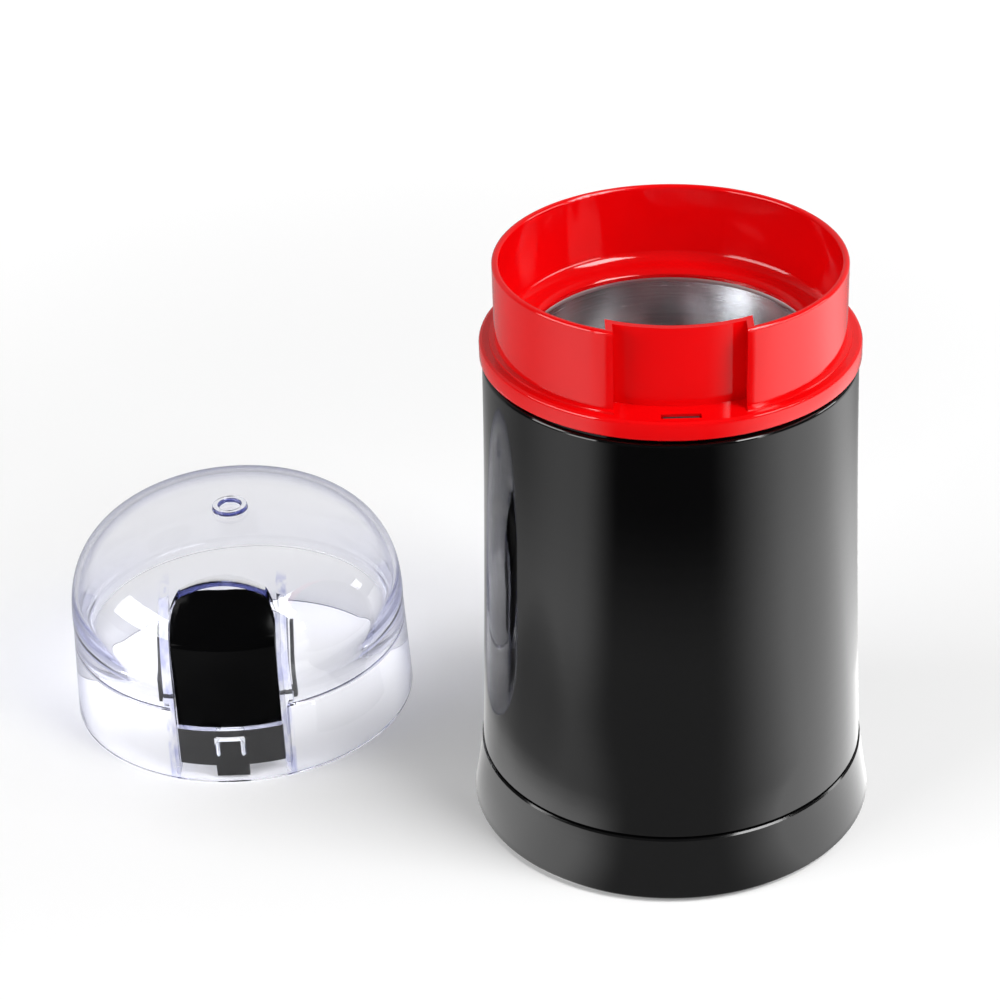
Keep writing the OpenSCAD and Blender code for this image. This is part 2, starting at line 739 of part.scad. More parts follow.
module lower_bracket() {
    color("#43464a") difference() {
        union() {
            translate([0, 0, z_br0]) linear_extrude(bracket_t) {
                circle(r = lower_boss_r + 5);
                for (s = [-1, 1]) rotate([0, 0, s * atan2(leg_y, leg_x)])
                    square([2 * norm([leg_x, leg_y]), 2 * lower_post_r], center = true);
            }
            translate([0, 0, z_lb0]) cylinder(r = lower_boss_r, h = z_lb1 - z_lb0);
            for (x = [-1, 1], y = [-1, 1]) translate([x * leg_x, y * leg_y, z_br0])
                cylinder(r = lower_post_r, h = z_stack0 - z_br0);
            // saddles under the brush holders
            for (s = [0, 180]) rotate([0, 0, s])
                translate([-brush_w / 2 - 3, tube_y0 + 2, z_br0])
                cube([brush_w + 6, tube_l - 4,
                    z_brush - brush_h / 2 - tube_wall - z_br0]);
        }
        translate([0, 0, z_lb0 - 1]) cylinder(r = lower_bush_r, h = lower_bush_h + 2);
        for (x = [-1, 1], y = [-1, 1]) translate([x * leg_x, y * leg_y, z_br0 - 1])
            cylinder(r = motor_screw_r + 0.1, h = post_l + 10);
    }
}
module motor_screws() {
    color("silver") for (x = [-1, 1], y = [-1, 1]) translate([x * leg_x, y * leg_y, 0])
        difference() {
            union() {
                translate([0, 0, z_br0 - motor_head_h])
                    cylinder(r = motor_head_r, h = motor_head_h);
                translate([0, 0, z_br0 - 0.1])
                    cylinder(r = motor_screw_r, h = z_stack1 + 9 - z_br0);
            }
            translate([0, 0, z_br0 - motor_head_h - 1]) linear_extrude(2) {
                square([3.4, 0.9], center = true);
                square([0.9, 3.4], center = true);
            }
        }
}
module upper_bearing() {
    color("#a98a4a") translate([0, 0, z_ub0])
        ring(shaft_r + run_fit, upper_bush_r, upper_bush_h);
}
module lower_bearing() {
    color("#a98a4a") translate([0, 0, z_lb0])
        ring(shaft_r + run_fit, lower_bush_r, lower_bush_h);
}

// ---------- brush gear, at the front and back of the commutator ----------
module brush_gear() {
    for (s = [0, 180]) rotate([0, 0, s]) translate([0, 0, z_brush]) rotate([-90, 0, 0])
        children();
}
module brush_holders() {
    color("#c8a24a") brush_gear() translate([0, 0, tube_y0]) linear_extrude(tube_l)
        difference() {
            square([brush_w + 2 * tube_wall, brush_h + 2 * tube_wall], center = true);
            square([brush_w + 0.1, brush_h + 0.1], center = true);
        }
}
module carbon_brushes() {
    color("#2c2c2e") difference() {
        brush_gear() translate([-brush_w / 2, -brush_h / 2, comm_r - 1])
            cube([brush_w, brush_h, brush_l]);
        translate([0, 0, z_brush - brush_h]) cylinder(r = brush_y0, h = 2 * brush_h);
    }
}
module brush_springs() {
    y0 = comm_r - 1 + brush_l;
    color("silver") brush_gear() translate([0, 0, y0]) coil(brush_spring_r, brush_wire, tube_y1 - y0, 4);
}
module brush_caps() {
    color("#2d2f31") brush_gear() translate([0, 0, tube_y1]) linear_extrude(cap_t)
        rrect(brush_w + 2 * tube_wall + 1, brush_h + 2 * tube_wall + 1, 1.2);
}

// ---------- switch under the slot ----------
module switch_bracket() {
    color("#55585c") difference() {
        union() {
            translate([-switch_w / 2, switch_y1, z_sw0 - shelf_sw_t])
                cube([switch_w, back_t, z_car0 - z_sw0 + shelf_sw_t]);
            translate([-switch_w / 2, switch_y1, z_car0 - 2]) cube([switch_w, 7, 2]);
            intersection() {
                translate([-switch_w / 2, rod_y - 0.8, z_sw0 - shelf_sw_t])
                    cube([switch_w, switch_y1 - rod_y + 0.8 + back_t, shelf_sw_t]);
                cylinder(r = body_in_top - 0.3, h = z_under);
            }
        }
        translate([-switch_w / 2 + 2, switch_y0 + 1.2, z_sw0 - shelf_sw_t - 1])
            cube([switch_w - 4, switch_t - 2.4, shelf_sw_t + 2]);
    }
}
module microswitch() {
    color("#1e2a3a") difference() {
        translate([-switch_w / 2, switch_y0, z_sw0]) cube([switch_w, switch_t, switch_h]);
        translate([0, plunger_y, switch_top - plunger_h])
            cylinder(r = plunger_r + slide_gap, h = plunger_h + 1);
    }
    color("silver") for (x = [-1, 0, 1])
        translate([x * 6 - 1.6, switch_y0 + 2.9, z_sw0 - 6]) cube([3.2, 0.6, 6]);
}
module switch_plunger() {
    color("#c23a2a") translate([0, plunger_y, z_foot0 - plunger_h + rod_travel])
        cylinder(r = plunger_r, h = plunger_h - rod_travel);
}
module switch_rod() {
    color("#26282a") {
        translate([-rod_w / 2, rod_y - rod_t / 2, z_foot0]) cube([rod_w, rod_t, z_rod1 - z_foot0]);
        translate([-rod_w / 2, rod_y - rod_t / 2, z_foot0])
            cube([rod_w, rod_foot_l, foot_t]);
        translate([0, 0, z_foot0]) for (x = [-1, 1])
            translate([x * (rod_w / 2 - 0.6) - 0.6, rod_y, 0]) cube([1.2, 2, 3.6]);
    }
}
module rod_spring() {
    color("silver") translate([0, rod_y + 0.9, z_sw0])
        coil(spring_r, spring_wire, z_foot0 - z_sw0, 7);
}

// ---------- rotor ----------
module motor_shaft() {
    color("#b9bcc0") {
        translate([0, 0, z_shaft0]) cylinder(r = shaft_r, h = z_blade - z_shaft0);
        translate([0, 0, z_blade - 0.1])
            cylinder(r = stud_r, h = blade_t + nut_h - 0.6);
    }
}
module rotor_core() {
    color("#7f8288") translate([0, 0, z_stack0]) linear_extrude(stack_h) difference() {
        circle(r = rotor_r);
        circle(r = shaft_r);
        for (i = [0 : rotor_slots - 1]) rotate(i * 360 / rotor_slots) {
            translate([slot_in_r, 0]) circle(r = slot_bore, $fn = 32);
            translate([slot_in_r, -slot_mouth / 2]) square([rotor_r, slot_mouth]);
        }
    }
}
module rotor_windings() {
    color("#b5652a") {
        at_each([for (i = [0 : rotor_slots - 1]) i * 360 / rotor_slots], slot_in_r)
            translate([0, 0, z_stack0 - wire_lift])
            cylinder(r = slot_bore - 0.1, h = stack_h + 2 * wire_lift, $fn = 24);
        for (z = [z_stack0 - end_h, z_stack1 + 0.2]) translate([0, 0, z])
            rotate_extrude() polygon([[shaft_r + 2, 1], [shaft_r + 4, 0], [rotor_r - 3.6, 0],
                [rotor_r - 1.7, 2], [rotor_r - 1.7, end_h - 2.2], [rotor_r - 3.1, end_h - 0.2],
                [shaft_r + 3, end_h - 0.2], [shaft_r + 2, end_h - 1.2]]);
    }
}
module commutator() {
    color("#c07a3c") translate([0, 0, z_comm0]) difference() {
        union() {
            cylinder(r = comm_r, h = comm_h);
            translate([0, 0, comm_h - 2]) cylinder(r = comm_r + 1.8, h = 2);
        }
        translate([0, 0, -1]) cylinder(r = shaft_r, h = comm_h + 2);
        at_each([for (i = [0 : comm_bars - 1]) i * 360 / comm_bars], comm_r - 0.7)
            translate([0, -0.25, -1]) cube([5, 0.5, comm_h + 2]);
    }
}
module cooling_fan() {
    color("#dcdcd6") translate([0, 0, z_fan0]) {
        difference() {
            union() {
                cylinder(r = fan_hub_r, h = fan_h);
                intersection() {
                    at_each([for (i = [0 : fan_blades - 1]) i * 360 / fan_blades], fan_root)
                        translate([0, 0, fan_h / 2]) rotate([38, 0, 0])
                        translate([0, -0.6, -fan_h]) cube([fan_r, 1.2, 2 * fan_h]);
                    ring(fan_hub_r - 2, fan_r, fan_h);
                }
            }
            translate([0, 0, -1]) cylinder(r = shaft_r, h = fan_h + 2);
        }
    }
}
module blade_hub() {
    z0 = z_blade - hub_h;
    color("#c4c7ca") rotate_extrude() polygon([[shaft_r, z0 + 1.4], [hub_r - 1.4, z0 + 1.4],
        [hub_r - 1.2, z0], [hub_r, z0], [hub_r, z0 + 2.6], [hub_r - 1.6, z_blade],
        [shaft_r, z_blade]]);
}
module blade_arm() {
    tip_w = blade_w * 0.62;
    flat = 7;
    arm_l = blade_r - flat;
    difference() {
        linear_extrude(blade_t) polygon([[0, -blade_w / 2], [arm_l * 0.55, -blade_w / 2 + 0.6],
            [arm_l - 2.2, -tip_w / 2], [arm_l, -tip_w / 2 + 2.4], [arm_l, tip_w / 2 - 0.8],
            [arm_l - 1, tip_w / 2], [0, blade_w / 2]]);
        // ground leading edge
        translate([1.5, -blade_w / 2 - 0.7, blade_t]) rotate([38, 0, 5.4])
            translate([0, -4, 0]) cube([arm_l + 4, 8, 4]);
    }
}
module blade() {
    flat = 7;
    color("#d4d7da") translate([0, 0, z_blade]) difference() {
        union() {
            translate([-flat - 0.1, -blade_w / 2, 0]) cube([2 * flat + 0.2, blade_w, blade_t]);
            translate([flat, 0, 0]) rotate([0, -blade_bend, 0]) blade_arm();
            rotate([0, 0, 180]) translate([flat, 0, 0]) rotate([0, blade_bend, 0]) blade_arm();
        }
        translate([0, 0, -1]) cylinder(r = stud_r, h = 6);
    }
}
module blade_nut() {
    color("#b0b3b7") translate([0, 0, z_blade + blade_t]) difference() {
        union() {
            intersection() {
                cylinder(r = nut_r, h = nut_h - 0.8, $fn = 6);
                cylinder(r = nut_r - 0.2, h = nut_h);
            }
            cylinder(r = nut_r * 0.78, h = nut_h);
        }
        translate([0, 0, -1]) cylinder(r = stud_r, h = nut_h + 0.4);
    }
}

// ---------- lid ----------
function dome_r(z, t) = z <= lid_wall_h
    ? lid_r - t + (lid_top_r - lid_r) * z / lid_wall_h
    : (lid_top_r - t) * pow(max(0, 1 - pow((z - lid_wall_h) / (lid_h - t - lid_wall_h),
        dome_e)), 1 / dome_e);
dome_n = 20;
button_r = dome_r(sill_z, lid_wall) - slide_gap;
function dome_pts(t) = concat([[lid_r - t, 0]],
    [for (i = [0 : dome_n]) let (s = sin(90 * i / dome_n),
        z = lid_wall_h + (lid_h - t - lid_wall_h) * s) [max(0, dome_r(z, t)), z]]);
module dome_solid(t) {
    rotate_extrude() polygon(concat([[0, 0]], dome_pts(t)));
}
// front outline of the window and of what slides in it, shrunk by g
module window_2d(g, low) {
    w = window_w - 2 * g;
    top = window_top - g;
    intersection() {
        union() {
            translate([-w / 2, low]) square([w, top - window_corner - low]);
            translate([-w / 2 + window_corner, low])
                square([w - 2 * window_corner, top - low]);
            for (s = [-1, 1]) translate([s * (w / 2 - window_corner), top - window_corner])
                circle(r = window_corner, $fn = 64);
        }
        translate([0, top - window_crown]) circle(r = window_crown);
    }
}
module front_prism(g, low, y0, y1) {
    translate([0, -y0, 0]) rotate([90, 0, 0]) linear_extrude(y1 - y0) window_2d(g, low);
}
module lid_dome() {
    translate([lid_x, lid_y, 0]) color([0.86, 0.87, 0.95, 0.4]) {
        difference() {
            union() {
                difference() {
                    union() {
                        difference() {
                            dome_solid(0);
                            translate([0, 0, -eps]) dome_solid(lid_wall);
                        }
                        // shoulder that rests on the collar's lip
                        rotate_extrude() polygon([[lid_seat_r, lid_seat_z],
                            [dome_r(lid_seat_z, lid_wall) + 0.4, lid_seat_z],
                            [dome_r(lid_seat_z, lid_wall) + 0.4, lid_seat_z + 4],
                            [lid_seat_r, lid_seat_z + 1.4]]);
                        translate([0, 0, lid_h - gate_root])
                            ring(gate_r - gate_t, gate_r, gate_root + gate_proud);
                    }
                    front_prism(0, sill_z, window_in, lid_r + 2);
                    // room for the button below the sill and through the shoulder
                    intersection() {
                        translate([0, 0, -eps]) dome_solid(lid_wall);
                        translate([-window_w / 2, -lid_r, -1])
                            cube([window_w, 20, lid_seat_z + 8]);
                    }
                    // groove round the tab, in the wall's inner face
                    intersection() {
                        dome_solid(lid_wall - tab_groove_t);
                        rotate([90, 0, 0]) linear_extrude(lid_r) difference() {
                            translate([-tab_groove_in - tab_groove_w, -1])
                                square([2 * (tab_groove_in + tab_groove_w), tab_groove_top + 1]);
                            translate([-tab_groove_in, -2])
                                square([2 * tab_groove_in, tab_groove_top - tab_groove_w + 2]);
                        }
                    }
                }
                // side walls of the button's pocket, thicker above the shoulder
                intersection() {
                    dome_solid(0.4);
                    union() {
                        pocket_walls(pocket_wall, pocket_z0);
                        pocket_walls(jamb_t, jamb_z0);
                    }
                }
            }
        }
    }
}
module pocket_walls(t, z0) {
    for (s = [-1, 1]) translate([s * (window_w + t) / 2, 0, 0])
        rotate([90, 0, 90]) linear_extrude(t, center = true)
        polygon(concat([[-lid_r, z0], [-pocket_in, z0]], cover_line(0), [[-lid_r, lid_h]]));
}
// outer line of the black back cover, from the shoulder to the dome, moved in by t
function cover_line(t) = [[t - pocket_in, cover_z1], [t - cover_top_y, cover_z2],
    [t - cover_top_y, lid_h]];
module button_profile(r_in) {
    polygon([[r_in, panel_z0], [button_r, panel_z0], [button_r, pad_z - 0.8],
        [button_r - 0.5, pad_z], [pad_in_r, pad_in_z], [pad_in_r, pad_in_z - 2.2],
        [button_r - 2.4, pad_z - 2.2], [r_in, pad_z - 3]]);
}
module lid_button() {
    half = button_w / 2;
    translate([lid_x, lid_y, 0]) color("#0c0c0d") {
        intersection() {
            rotate_extrude() button_profile(button_r - button_t);
            front_prism(slide_gap, panel_z0, cover_top_y + 2 * slide_gap, lid_r);
        }
        // side cheeks and the rib that the springs push
        intersection() {
            rotate_extrude() button_profile(pocket_in);
            for (s = [-1, 1]) translate([s * (half - 0.7) - 0.7, -lid_r, shelf_z])
                cube([1.4, lid_r - pocket_in - 2 * slide_gap, 20]);
        }
        intersection() {
            rotate_extrude() button_profile(pocket_in);
            translate([-half + 0.5, -lid_r, rib_z])
                cube([button_w - 1, lid_r - pocket_in - 2 * slide_gap, 1.6]);
        }
        // tab for the switch slot
        translate([-tab_w / 2, -slot_r - tab_t / 2, tab_z0]) cube([tab_w, tab_t, tab_top - tab_z0]);
        intersection() {
            rotate_extrude() translate([button_r - 0.5, panel_z0])
                square([0.5 + tab_proud, tab_top - panel_z0]);
            translate([-tab_w / 2, -lid_r, panel_z0]) cube([tab_w, tab_w, tab_top]);
        }
    }
}
module button_cover() {
    translate([lid_x, lid_y, 0]) color("#101012") {
        intersection() {
            dome_solid(lid_wall + slip);
            rotate([90, 0, 90]) linear_extrude(cover_w, center = true)
                polygon(concat([[-pocket_in, cover_z0]], cover_line(0),
                    turned(cover_line(plate_t)), [[plate_t - pocket_in, cover_z0]]));
            // the plate, its foot, and a clip outside each side wall
            union() {
                translate([-plate_w / 2, -lid_r, 0]) cube([plate_w, lid_r, lid_h]);
                translate([-cover_w / 2, -lid_r, 0])
                    cube([cover_w, lid_r, cover_z0 + clip_foot_h]);
                for (s = [-1, 1]) translate([s * (cover_w - clip_t) / 2, -lid_r / 2, lid_h / 2])
                    cube([clip_t, lid_r, lid_h], center = true);
            }
        }
        translate([-spring_x - shelf_side, -spring_y - 1.3, shelf_z - shelf_plate_t])
            cube([2 * (spring_x + shelf_side), spring_y + 1.3 - pocket_in + 0.1, shelf_plate_t]);
    }
}
module button_springs() {
    translate([lid_x, lid_y, 0]) color("silver") for (s = [-1, 1])
        translate([s * spring_x, -spring_y, shelf_z])
        coil(button_spring_r, button_wire, rib_z - shelf_z, 5);
}

housing_shell();
base_ring();
bottom_cover();
foot_ring();
base_screws();
cord_gland();
terminal_block();
cup_collar();
bowl_seal();
grinding_bowl();
shaft_seal();
motor_carrier();
collar_screws();
stator_core();
field_coils();
lower_bracket();
motor_screws();
upper_bearing();
lower_bearing();
brush_holders();
carbon_brushes();
brush_springs();
brush_caps();
switch_bracket();
microswitch();
switch_plunger();
switch_rod();
rod_spring();
motor_shaft();
rotor_core();
rotor_windings();
commutator();
cooling_fan();
blade_hub();
blade();
blade_nut();
lid_dome();
lid_button();
button_cover();
button_springs();
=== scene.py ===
import math

import bpy
from mathutils import Matrix, Vector


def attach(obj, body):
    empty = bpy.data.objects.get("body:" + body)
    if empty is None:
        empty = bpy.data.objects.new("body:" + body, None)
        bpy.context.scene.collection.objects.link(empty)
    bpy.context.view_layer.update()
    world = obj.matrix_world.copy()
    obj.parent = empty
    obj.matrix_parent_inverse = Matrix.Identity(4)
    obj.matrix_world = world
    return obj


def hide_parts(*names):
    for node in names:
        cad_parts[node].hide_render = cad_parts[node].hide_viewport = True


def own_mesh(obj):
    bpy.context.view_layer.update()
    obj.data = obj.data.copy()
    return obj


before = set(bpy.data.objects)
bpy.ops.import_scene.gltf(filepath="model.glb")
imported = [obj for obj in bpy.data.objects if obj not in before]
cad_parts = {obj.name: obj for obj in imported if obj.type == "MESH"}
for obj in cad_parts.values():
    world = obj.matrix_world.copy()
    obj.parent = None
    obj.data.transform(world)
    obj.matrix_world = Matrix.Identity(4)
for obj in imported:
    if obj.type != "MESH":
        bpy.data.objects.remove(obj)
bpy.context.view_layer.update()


# ---------- Foot ring, bottom cover and its screws ----------
# A rubber ring is pressed into the underside of a vented satin black plate.
# Three zinc plated screws hold the plate to the columns inside the body.
class Signal:
    """A value that varies over a surface, so that shader maths reads as plain sums."""

    def __init__(self, board, socket):
        self.board = board
        self.socket = socket

    def __add__(self, other):
        return self.board.maths("ADD", self, other)

    def __sub__(self, other):
        return self.board.maths("SUBTRACT", self, other)

    def __rsub__(self, other):
        return self.board.maths("SUBTRACT", other, self)

    def __mul__(self, other):
        return self.board.maths("MULTIPLY", self, other)

    def __truediv__(self, other):
        return self.board.maths("DIVIDE", self, other)

    def __rtruediv__(self, other):
        return self.board.maths("DIVIDE", other, self)

    __radd__ = __add__
    __rmul__ = __mul__


class Board:
    """A tree of shader nodes, and the ways to add to it."""

    def __init__(self, tree):
        self.nodes = tree.nodes
        self.links = tree.links

    def plug(self, socket, value):
        if isinstance(value, Signal):
            self.links.new(value.socket, socket)
        elif socket.type == "RGBA" and len(value) == 3:
            socket.default_value = (*value, 1)
        else:
            socket.default_value = value

    def node(self, kind, settings=None, inputs=None, out=0):
        """Adds a node: its settings first, then the values or links of its sockets."""
        made = self.nodes.new("ShaderNode" + kind)
        for name, value in (settings or {}).items():
            setattr(made, name, value)
        for name, value in (inputs or {}).items():
            self.plug(made.inputs[name], value)
        return Signal(self, made.outputs[out])

    def grey(self, value):
        """A colour of equal red, green and blue."""
        return self.node("CombineXYZ", None, {0: value, 1: value, 2: value})

    def maths(self, operation, *values):
        return self.node("Math", {"operation": operation}, dict(enumerate(values)))

    def mix(self, factor, first, second):
        return self.node(
            "Mix", {"data_type": "RGBA"}, {0: factor, 6: first, 7: second}, out=2
        )

    def ramp_up(self, value, start, end, low=0.0, high=1.0):
        """Rises smoothly from low to high while value goes from start to end."""
        return self.node(
            "MapRange",
            {"interpolation_type": "SMOOTHSTEP"},
            {
                "Value": value,
                "From Min": start,
                "From Max": end,
                "To Min": low,
                "To Max": high,
            },
        )

    def within(self, value, low, high, soft):
        """1 while value lies from low to high, fading over soft inside both ends."""
        return self.ramp_up(value, low, low + soft) * self.ramp_up(value, high, high - soft)


class Finish(Board):
    """A material: fixed values sit on the shader, and varying ones are fed to it."""

    def __init__(self, name, **fixed):
        self.material = bpy.data.materials.new(name)
        self.material.use_nodes = True
        super().__init__(self.material.node_tree)
        self.shader = self.nodes["Principled BSDF"]
        self.place = self.node("TexCoord", out="Object")
        for name, value in fixed.items():
            self.plug(self.shader.inputs[name.replace("_", " ")], value)

    def axis(self, letter):
        return self.node("SeparateXYZ", None, {0: self.place}, out=letter)

    def noise(self, size, detail=2, stretch=(1, 1, 1)):
        """Soft noise from 0 to 1, with lumps about size metres across."""
        place = self.node(
            "VectorMath", {"operation": "MULTIPLY"}, {0: self.place, 1: stretch}
        )
        return self.node(
            "TexNoise", None, {"Vector": place, "Scale": 1 / size, "Detail": detail}
        )

    def radius(self):
        """Distance from the upright axis of the grinder."""
        x, y = self.axis("X"), self.axis("Y")
        return self.maths("SQRT", x * x + y * y)

    def ridges(self, along, pitch):
        """A wave from 0 to 1 that repeats every pitch metres."""
        return self.maths("SINE", along * (2 * math.pi / pitch)) * 0.5 + 0.5

    def feed(self, **signals):
        """Links varying values to the shader's sockets."""
        for name, value in signals.items():
            self.plug(self.shader.inputs[name.replace("_", " ")], value)
        return self

    def show(self, **shaders):
        """Links other shaders than the usual one to the material's output."""
        for name, value in shaders.items():
            self.plug(self.nodes["Material Output"].inputs[name], value)

    def bump(self, height, depth):
        """Raises the surface by depth metres where height is 1."""
        return self.feed(Normal=self.node("Bump", None, {"Height": height, "Distance": depth}))


def dress(finish, *names):
    """Gives CAD nodes their finish."""
    for name in names:
        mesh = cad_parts[name].data
        mesh.materials.clear()
        mesh.materials.append(finish.material)


rubber = Finish("rubber")
rubber_dust = rubber.noise(0.004, 4)
rubber.feed(
    Base_Color=rubber.mix(rubber_dust, (0.022, 0.022, 0.023), (0.046, 0.045, 0.044)),
    Roughness=rubber_dust * 0.2 + 0.6,
).bump(rubber.noise(0.0004), 0.00003)
dress(rubber, "foot_ring", "cord_gland", "shaft_seal")

satin_black = Finish("satin_black")
satin_grain = satin_black.noise(0.0005, 3)
satin_black.feed(
    Base_Color=satin_black.mix(
        satin_black.noise(0.012), (0.020, 0.020, 0.022), (0.030, 0.030, 0.032)
    ),
    Roughness=satin_grain * 0.18 + 0.34,
).bump(satin_grain, 0.00002)
dress(satin_black, "bottom_cover")

zinc = Finish("zinc", Metallic=1.0)
zinc_cloud = zinc.noise(0.002, 3)
zinc.feed(
    Base_Color=zinc.mix(zinc_cloud, (0.52, 0.54, 0.58), (0.68, 0.69, 0.70)),
    Roughness=zinc_cloud * 0.22 + 0.22,
).bump(zinc.noise(0.0005), 0.00001)
dress(zinc, "base_screws")


# ---------- Base ring and body ----------
# Both are gloss black injection mouldings, the base ring a little less polished.
# The base ring's spigot enters the body, and leaves the seam groove between them.
gloss_black = Finish("gloss_black", IOR=1.5)
polish_haze = gloss_black.noise(0.02, 4)
gloss_black.feed(
    Base_Color=gloss_black.mix(
        polish_haze, (0.0008, 0.0008, 0.0009), (0.0016, 0.0015, 0.0017)
    ),
    Roughness=polish_haze * 0.04 + 0.05,
).bump(gloss_black.noise(0.009, 1), 0.000008)
dress(gloss_black, "housing_shell")

base_black = Finish("base_black", IOR=1.5)
base_haze = base_black.noise(0.01, 4)
base_black.feed(
    Base_Color=base_black.mix(
        base_haze, (0.0020, 0.0020, 0.0022), (0.0036, 0.0036, 0.0038)
    ),
    Roughness=base_haze * 0.05 + 0.09,
).bump(base_black.noise(0.0008, 3), 0.000003)
dress(base_black, "base_ring")


# ---------- Terminal block behind the cord inlet ----------
# A two-way block of ivory nylon stands on the bottom cover and joins the cord's leads.
# The same nylon is used for the cooling fan.
ivory = Finish("ivory", Subsurface_Weight=0.05)
ivory_cloud = ivory.noise(0.006, 3)
ivory.feed(
    Base_Color=ivory.mix(ivory_cloud, (0.70, 0.68, 0.60), (0.78, 0.77, 0.70)),
    Roughness=ivory_cloud * 0.15 + 0.33,
).bump(ivory.noise(0.0006), 0.00001)
dress(ivory, "terminal_block", "cooling_fan")


# ---------- Motor: carrier, stator, brackets and brushes ----------
# The carrier hangs from the collar by four screws and holds a universal motor by its stack.
# The stack is pressed sheet, the coils are enamelled wire and the bearings sintered bronze.
grey_nylon = Finish("grey_nylon")
nylon_fibre = grey_nylon.noise(0.0012, 4, (1, 1, 0.3))
grey_nylon.feed(
    Base_Color=grey_nylon.mix(nylon_fibre, (0.075, 0.082, 0.090), (0.115, 0.122, 0.130)),
    Roughness=nylon_fibre * 0.2 + 0.42,
).bump(nylon_fibre, 0.00002)
dress(grey_nylon, "motor_carrier", "lower_bracket", "switch_bracket", "brush_caps")
dress(zinc, "collar_screws", "motor_screws", "brush_springs")

sheet_stack = Finish("sheet_stack", Metallic=1.0)
sheet_edges = sheet_stack.ridges(sheet_stack.axis("Z"), 0.0005)
sheet_stack.feed(
    Base_Color=sheet_stack.mix(sheet_edges, (0.17, 0.18, 0.20), (0.42, 0.43, 0.45)),
    Roughness=sheet_stack.noise(0.003, 3) * 0.25 + 0.3,
).bump(sheet_edges, 0.00005)
dress(sheet_stack, "stator_core", "rotor_core")

copper_wire = Finish("copper_wire", Metallic=0.85)
wire_turns = copper_wire.ridges(
    copper_wire.radius() + copper_wire.axis("Z") * 0.7, 0.0006
)
copper_wire.feed(
    Base_Color=copper_wire.mix(wire_turns, (0.24, 0.075, 0.025), (0.72, 0.30, 0.12)),
    Roughness=wire_turns * 0.1 + 0.24,
).bump(wire_turns, 0.00012)
dress(copper_wire, "field_coils", "rotor_windings")

bronze = Finish("bronze", Metallic=1.0)
bronze_pores = bronze.noise(0.0003, 3)
bronze.feed(
    Base_Color=bronze.mix(bronze_pores, (0.36, 0.24, 0.09), (0.68, 0.50, 0.24)),
    Roughness=bronze_pores * 0.3 + 0.3,
).bump(bronze_pores, 0.00002)
dress(bronze, "upper_bearing", "lower_bearing", "brush_holders")

carbon = Finish("carbon")
carbon_grain = carbon.noise(0.0003, 4)
carbon.feed(
    Base_Color=carbon.mix(carbon_grain, (0.022, 0.022, 0.024), (0.060, 0.060, 0.064)),
    Roughness=carbon_grain * 0.2 + 0.45,
).bump(carbon_grain, 0.00001)
dress(carbon, "carbon_brushes")


# ---------- Safety switch ----------
# The lid's tab pushes a plastic rod down through the slot in the collar.
# The rod presses the plunger of a microswitch, and a zinc plated spring lifts it again.
dress(satin_black, "microswitch", "switch_rod")
ROD_Y = -0.0422
ROD_SPRING_LOW, ROD_SPRING_HIGH = 0.08383, 0.09637


def form(points, faces, name="form"):
    """A plain closed form from points in metres."""
    mesh = bpy.data.meshes.new(name)
    mesh.from_pydata([tuple(p) for p in points], [], faces)
    mesh.validate()
    piece = bpy.data.objects.new(name, mesh)
    bpy.context.scene.collection.objects.link(piece)
    return piece


def mesh_piece(name, points, faces, body, finish, slot):
    """A named piece in its finish, on the body that carries it."""
    piece = form(points, faces, name)
    piece.data.materials.append(finish.material)
    smooth(piece)
    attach(piece, body)
    return piece


def smooth(piece, crease=35):
    """Shades smooth, with sharp edges where faces meet at more than crease degrees."""
    piece.data.shade_smooth()
    piece.data.set_sharp_from_angle(angle=math.radians(crease))


def coil(centres, radius, wire, low, high, turns, steps=36, sides=12):
    """Points and faces of round wire springs with a closed half turn at each end."""
    points, faces = [], []
    count = int((turns + 1) * steps)
    for x, y in centres:
        start = len(points)
        for n in range(count + 1):
            turn = 2 * math.pi * n / steps
            climb = min(1, max(0, (n / steps - 0.5) / turns))
            z = low + wire + (high - low - 2 * wire) * climb
            for m in range(sides):
                lap = 2 * math.pi * m / sides
                out = radius + wire * math.cos(lap)
                points.append((
                    x + out * math.cos(turn),
                    y + out * math.sin(turn),
                    z + wire * math.sin(lap),
                ))
        for n in range(count):
            for m in range(sides):
                a, b = start + n * sides + m, start + n * sides + (m + 1) % sides
                faces.append((a, a + sides, b + sides, b))
        faces.append(tuple(start + m for m in range(sides)))
        faces.append(tuple(start + count * sides + m for m in reversed(range(sides))))
    return points, faces


rod_coil = mesh_piece(
    "rod_return_spring",
    *coil([(0, ROD_Y)], 0.0013, 0.00025, ROD_SPRING_LOW, ROD_SPRING_HIGH, 7),
    "housing",
    zinc,
    "zinc_steel",
)
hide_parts("rod_spring")
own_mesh(rod_coil)
dress(zinc, "rod_spring")

plunger_red = Finish("plunger_red")
plunger_shade = plunger_red.noise(0.002)
plunger_red.feed(
    Base_Color=plunger_red.mix(plunger_shade, (0.62, 0.010, 0.014), (0.75, 0.014, 0.020)),
    Roughness=plunger_shade * 0.1 + 0.25,
)
dress(plunger_red, "switch_plunger")


# ---------- Rotor ----------
# The shaft is ground steel and carries the slotted stack, the wound coils and the fan.
# The commutator's copper bars are moulded in a ring and run under the brushes.
ground_steel = Finish("ground_steel", Metallic=1.0)
grind_lines = ground_steel.noise(0.0004, 3, (1, 1, 12))
ground_steel.feed(
    Base_Color=ground_steel.mix(grind_lines, (0.46, 0.47, 0.49), (0.64, 0.65, 0.67)),
    Roughness=grind_lines * 0.16 + 0.18,
).bump(grind_lines, 0.000004)
dress(ground_steel, "motor_shaft", "blade_nut")

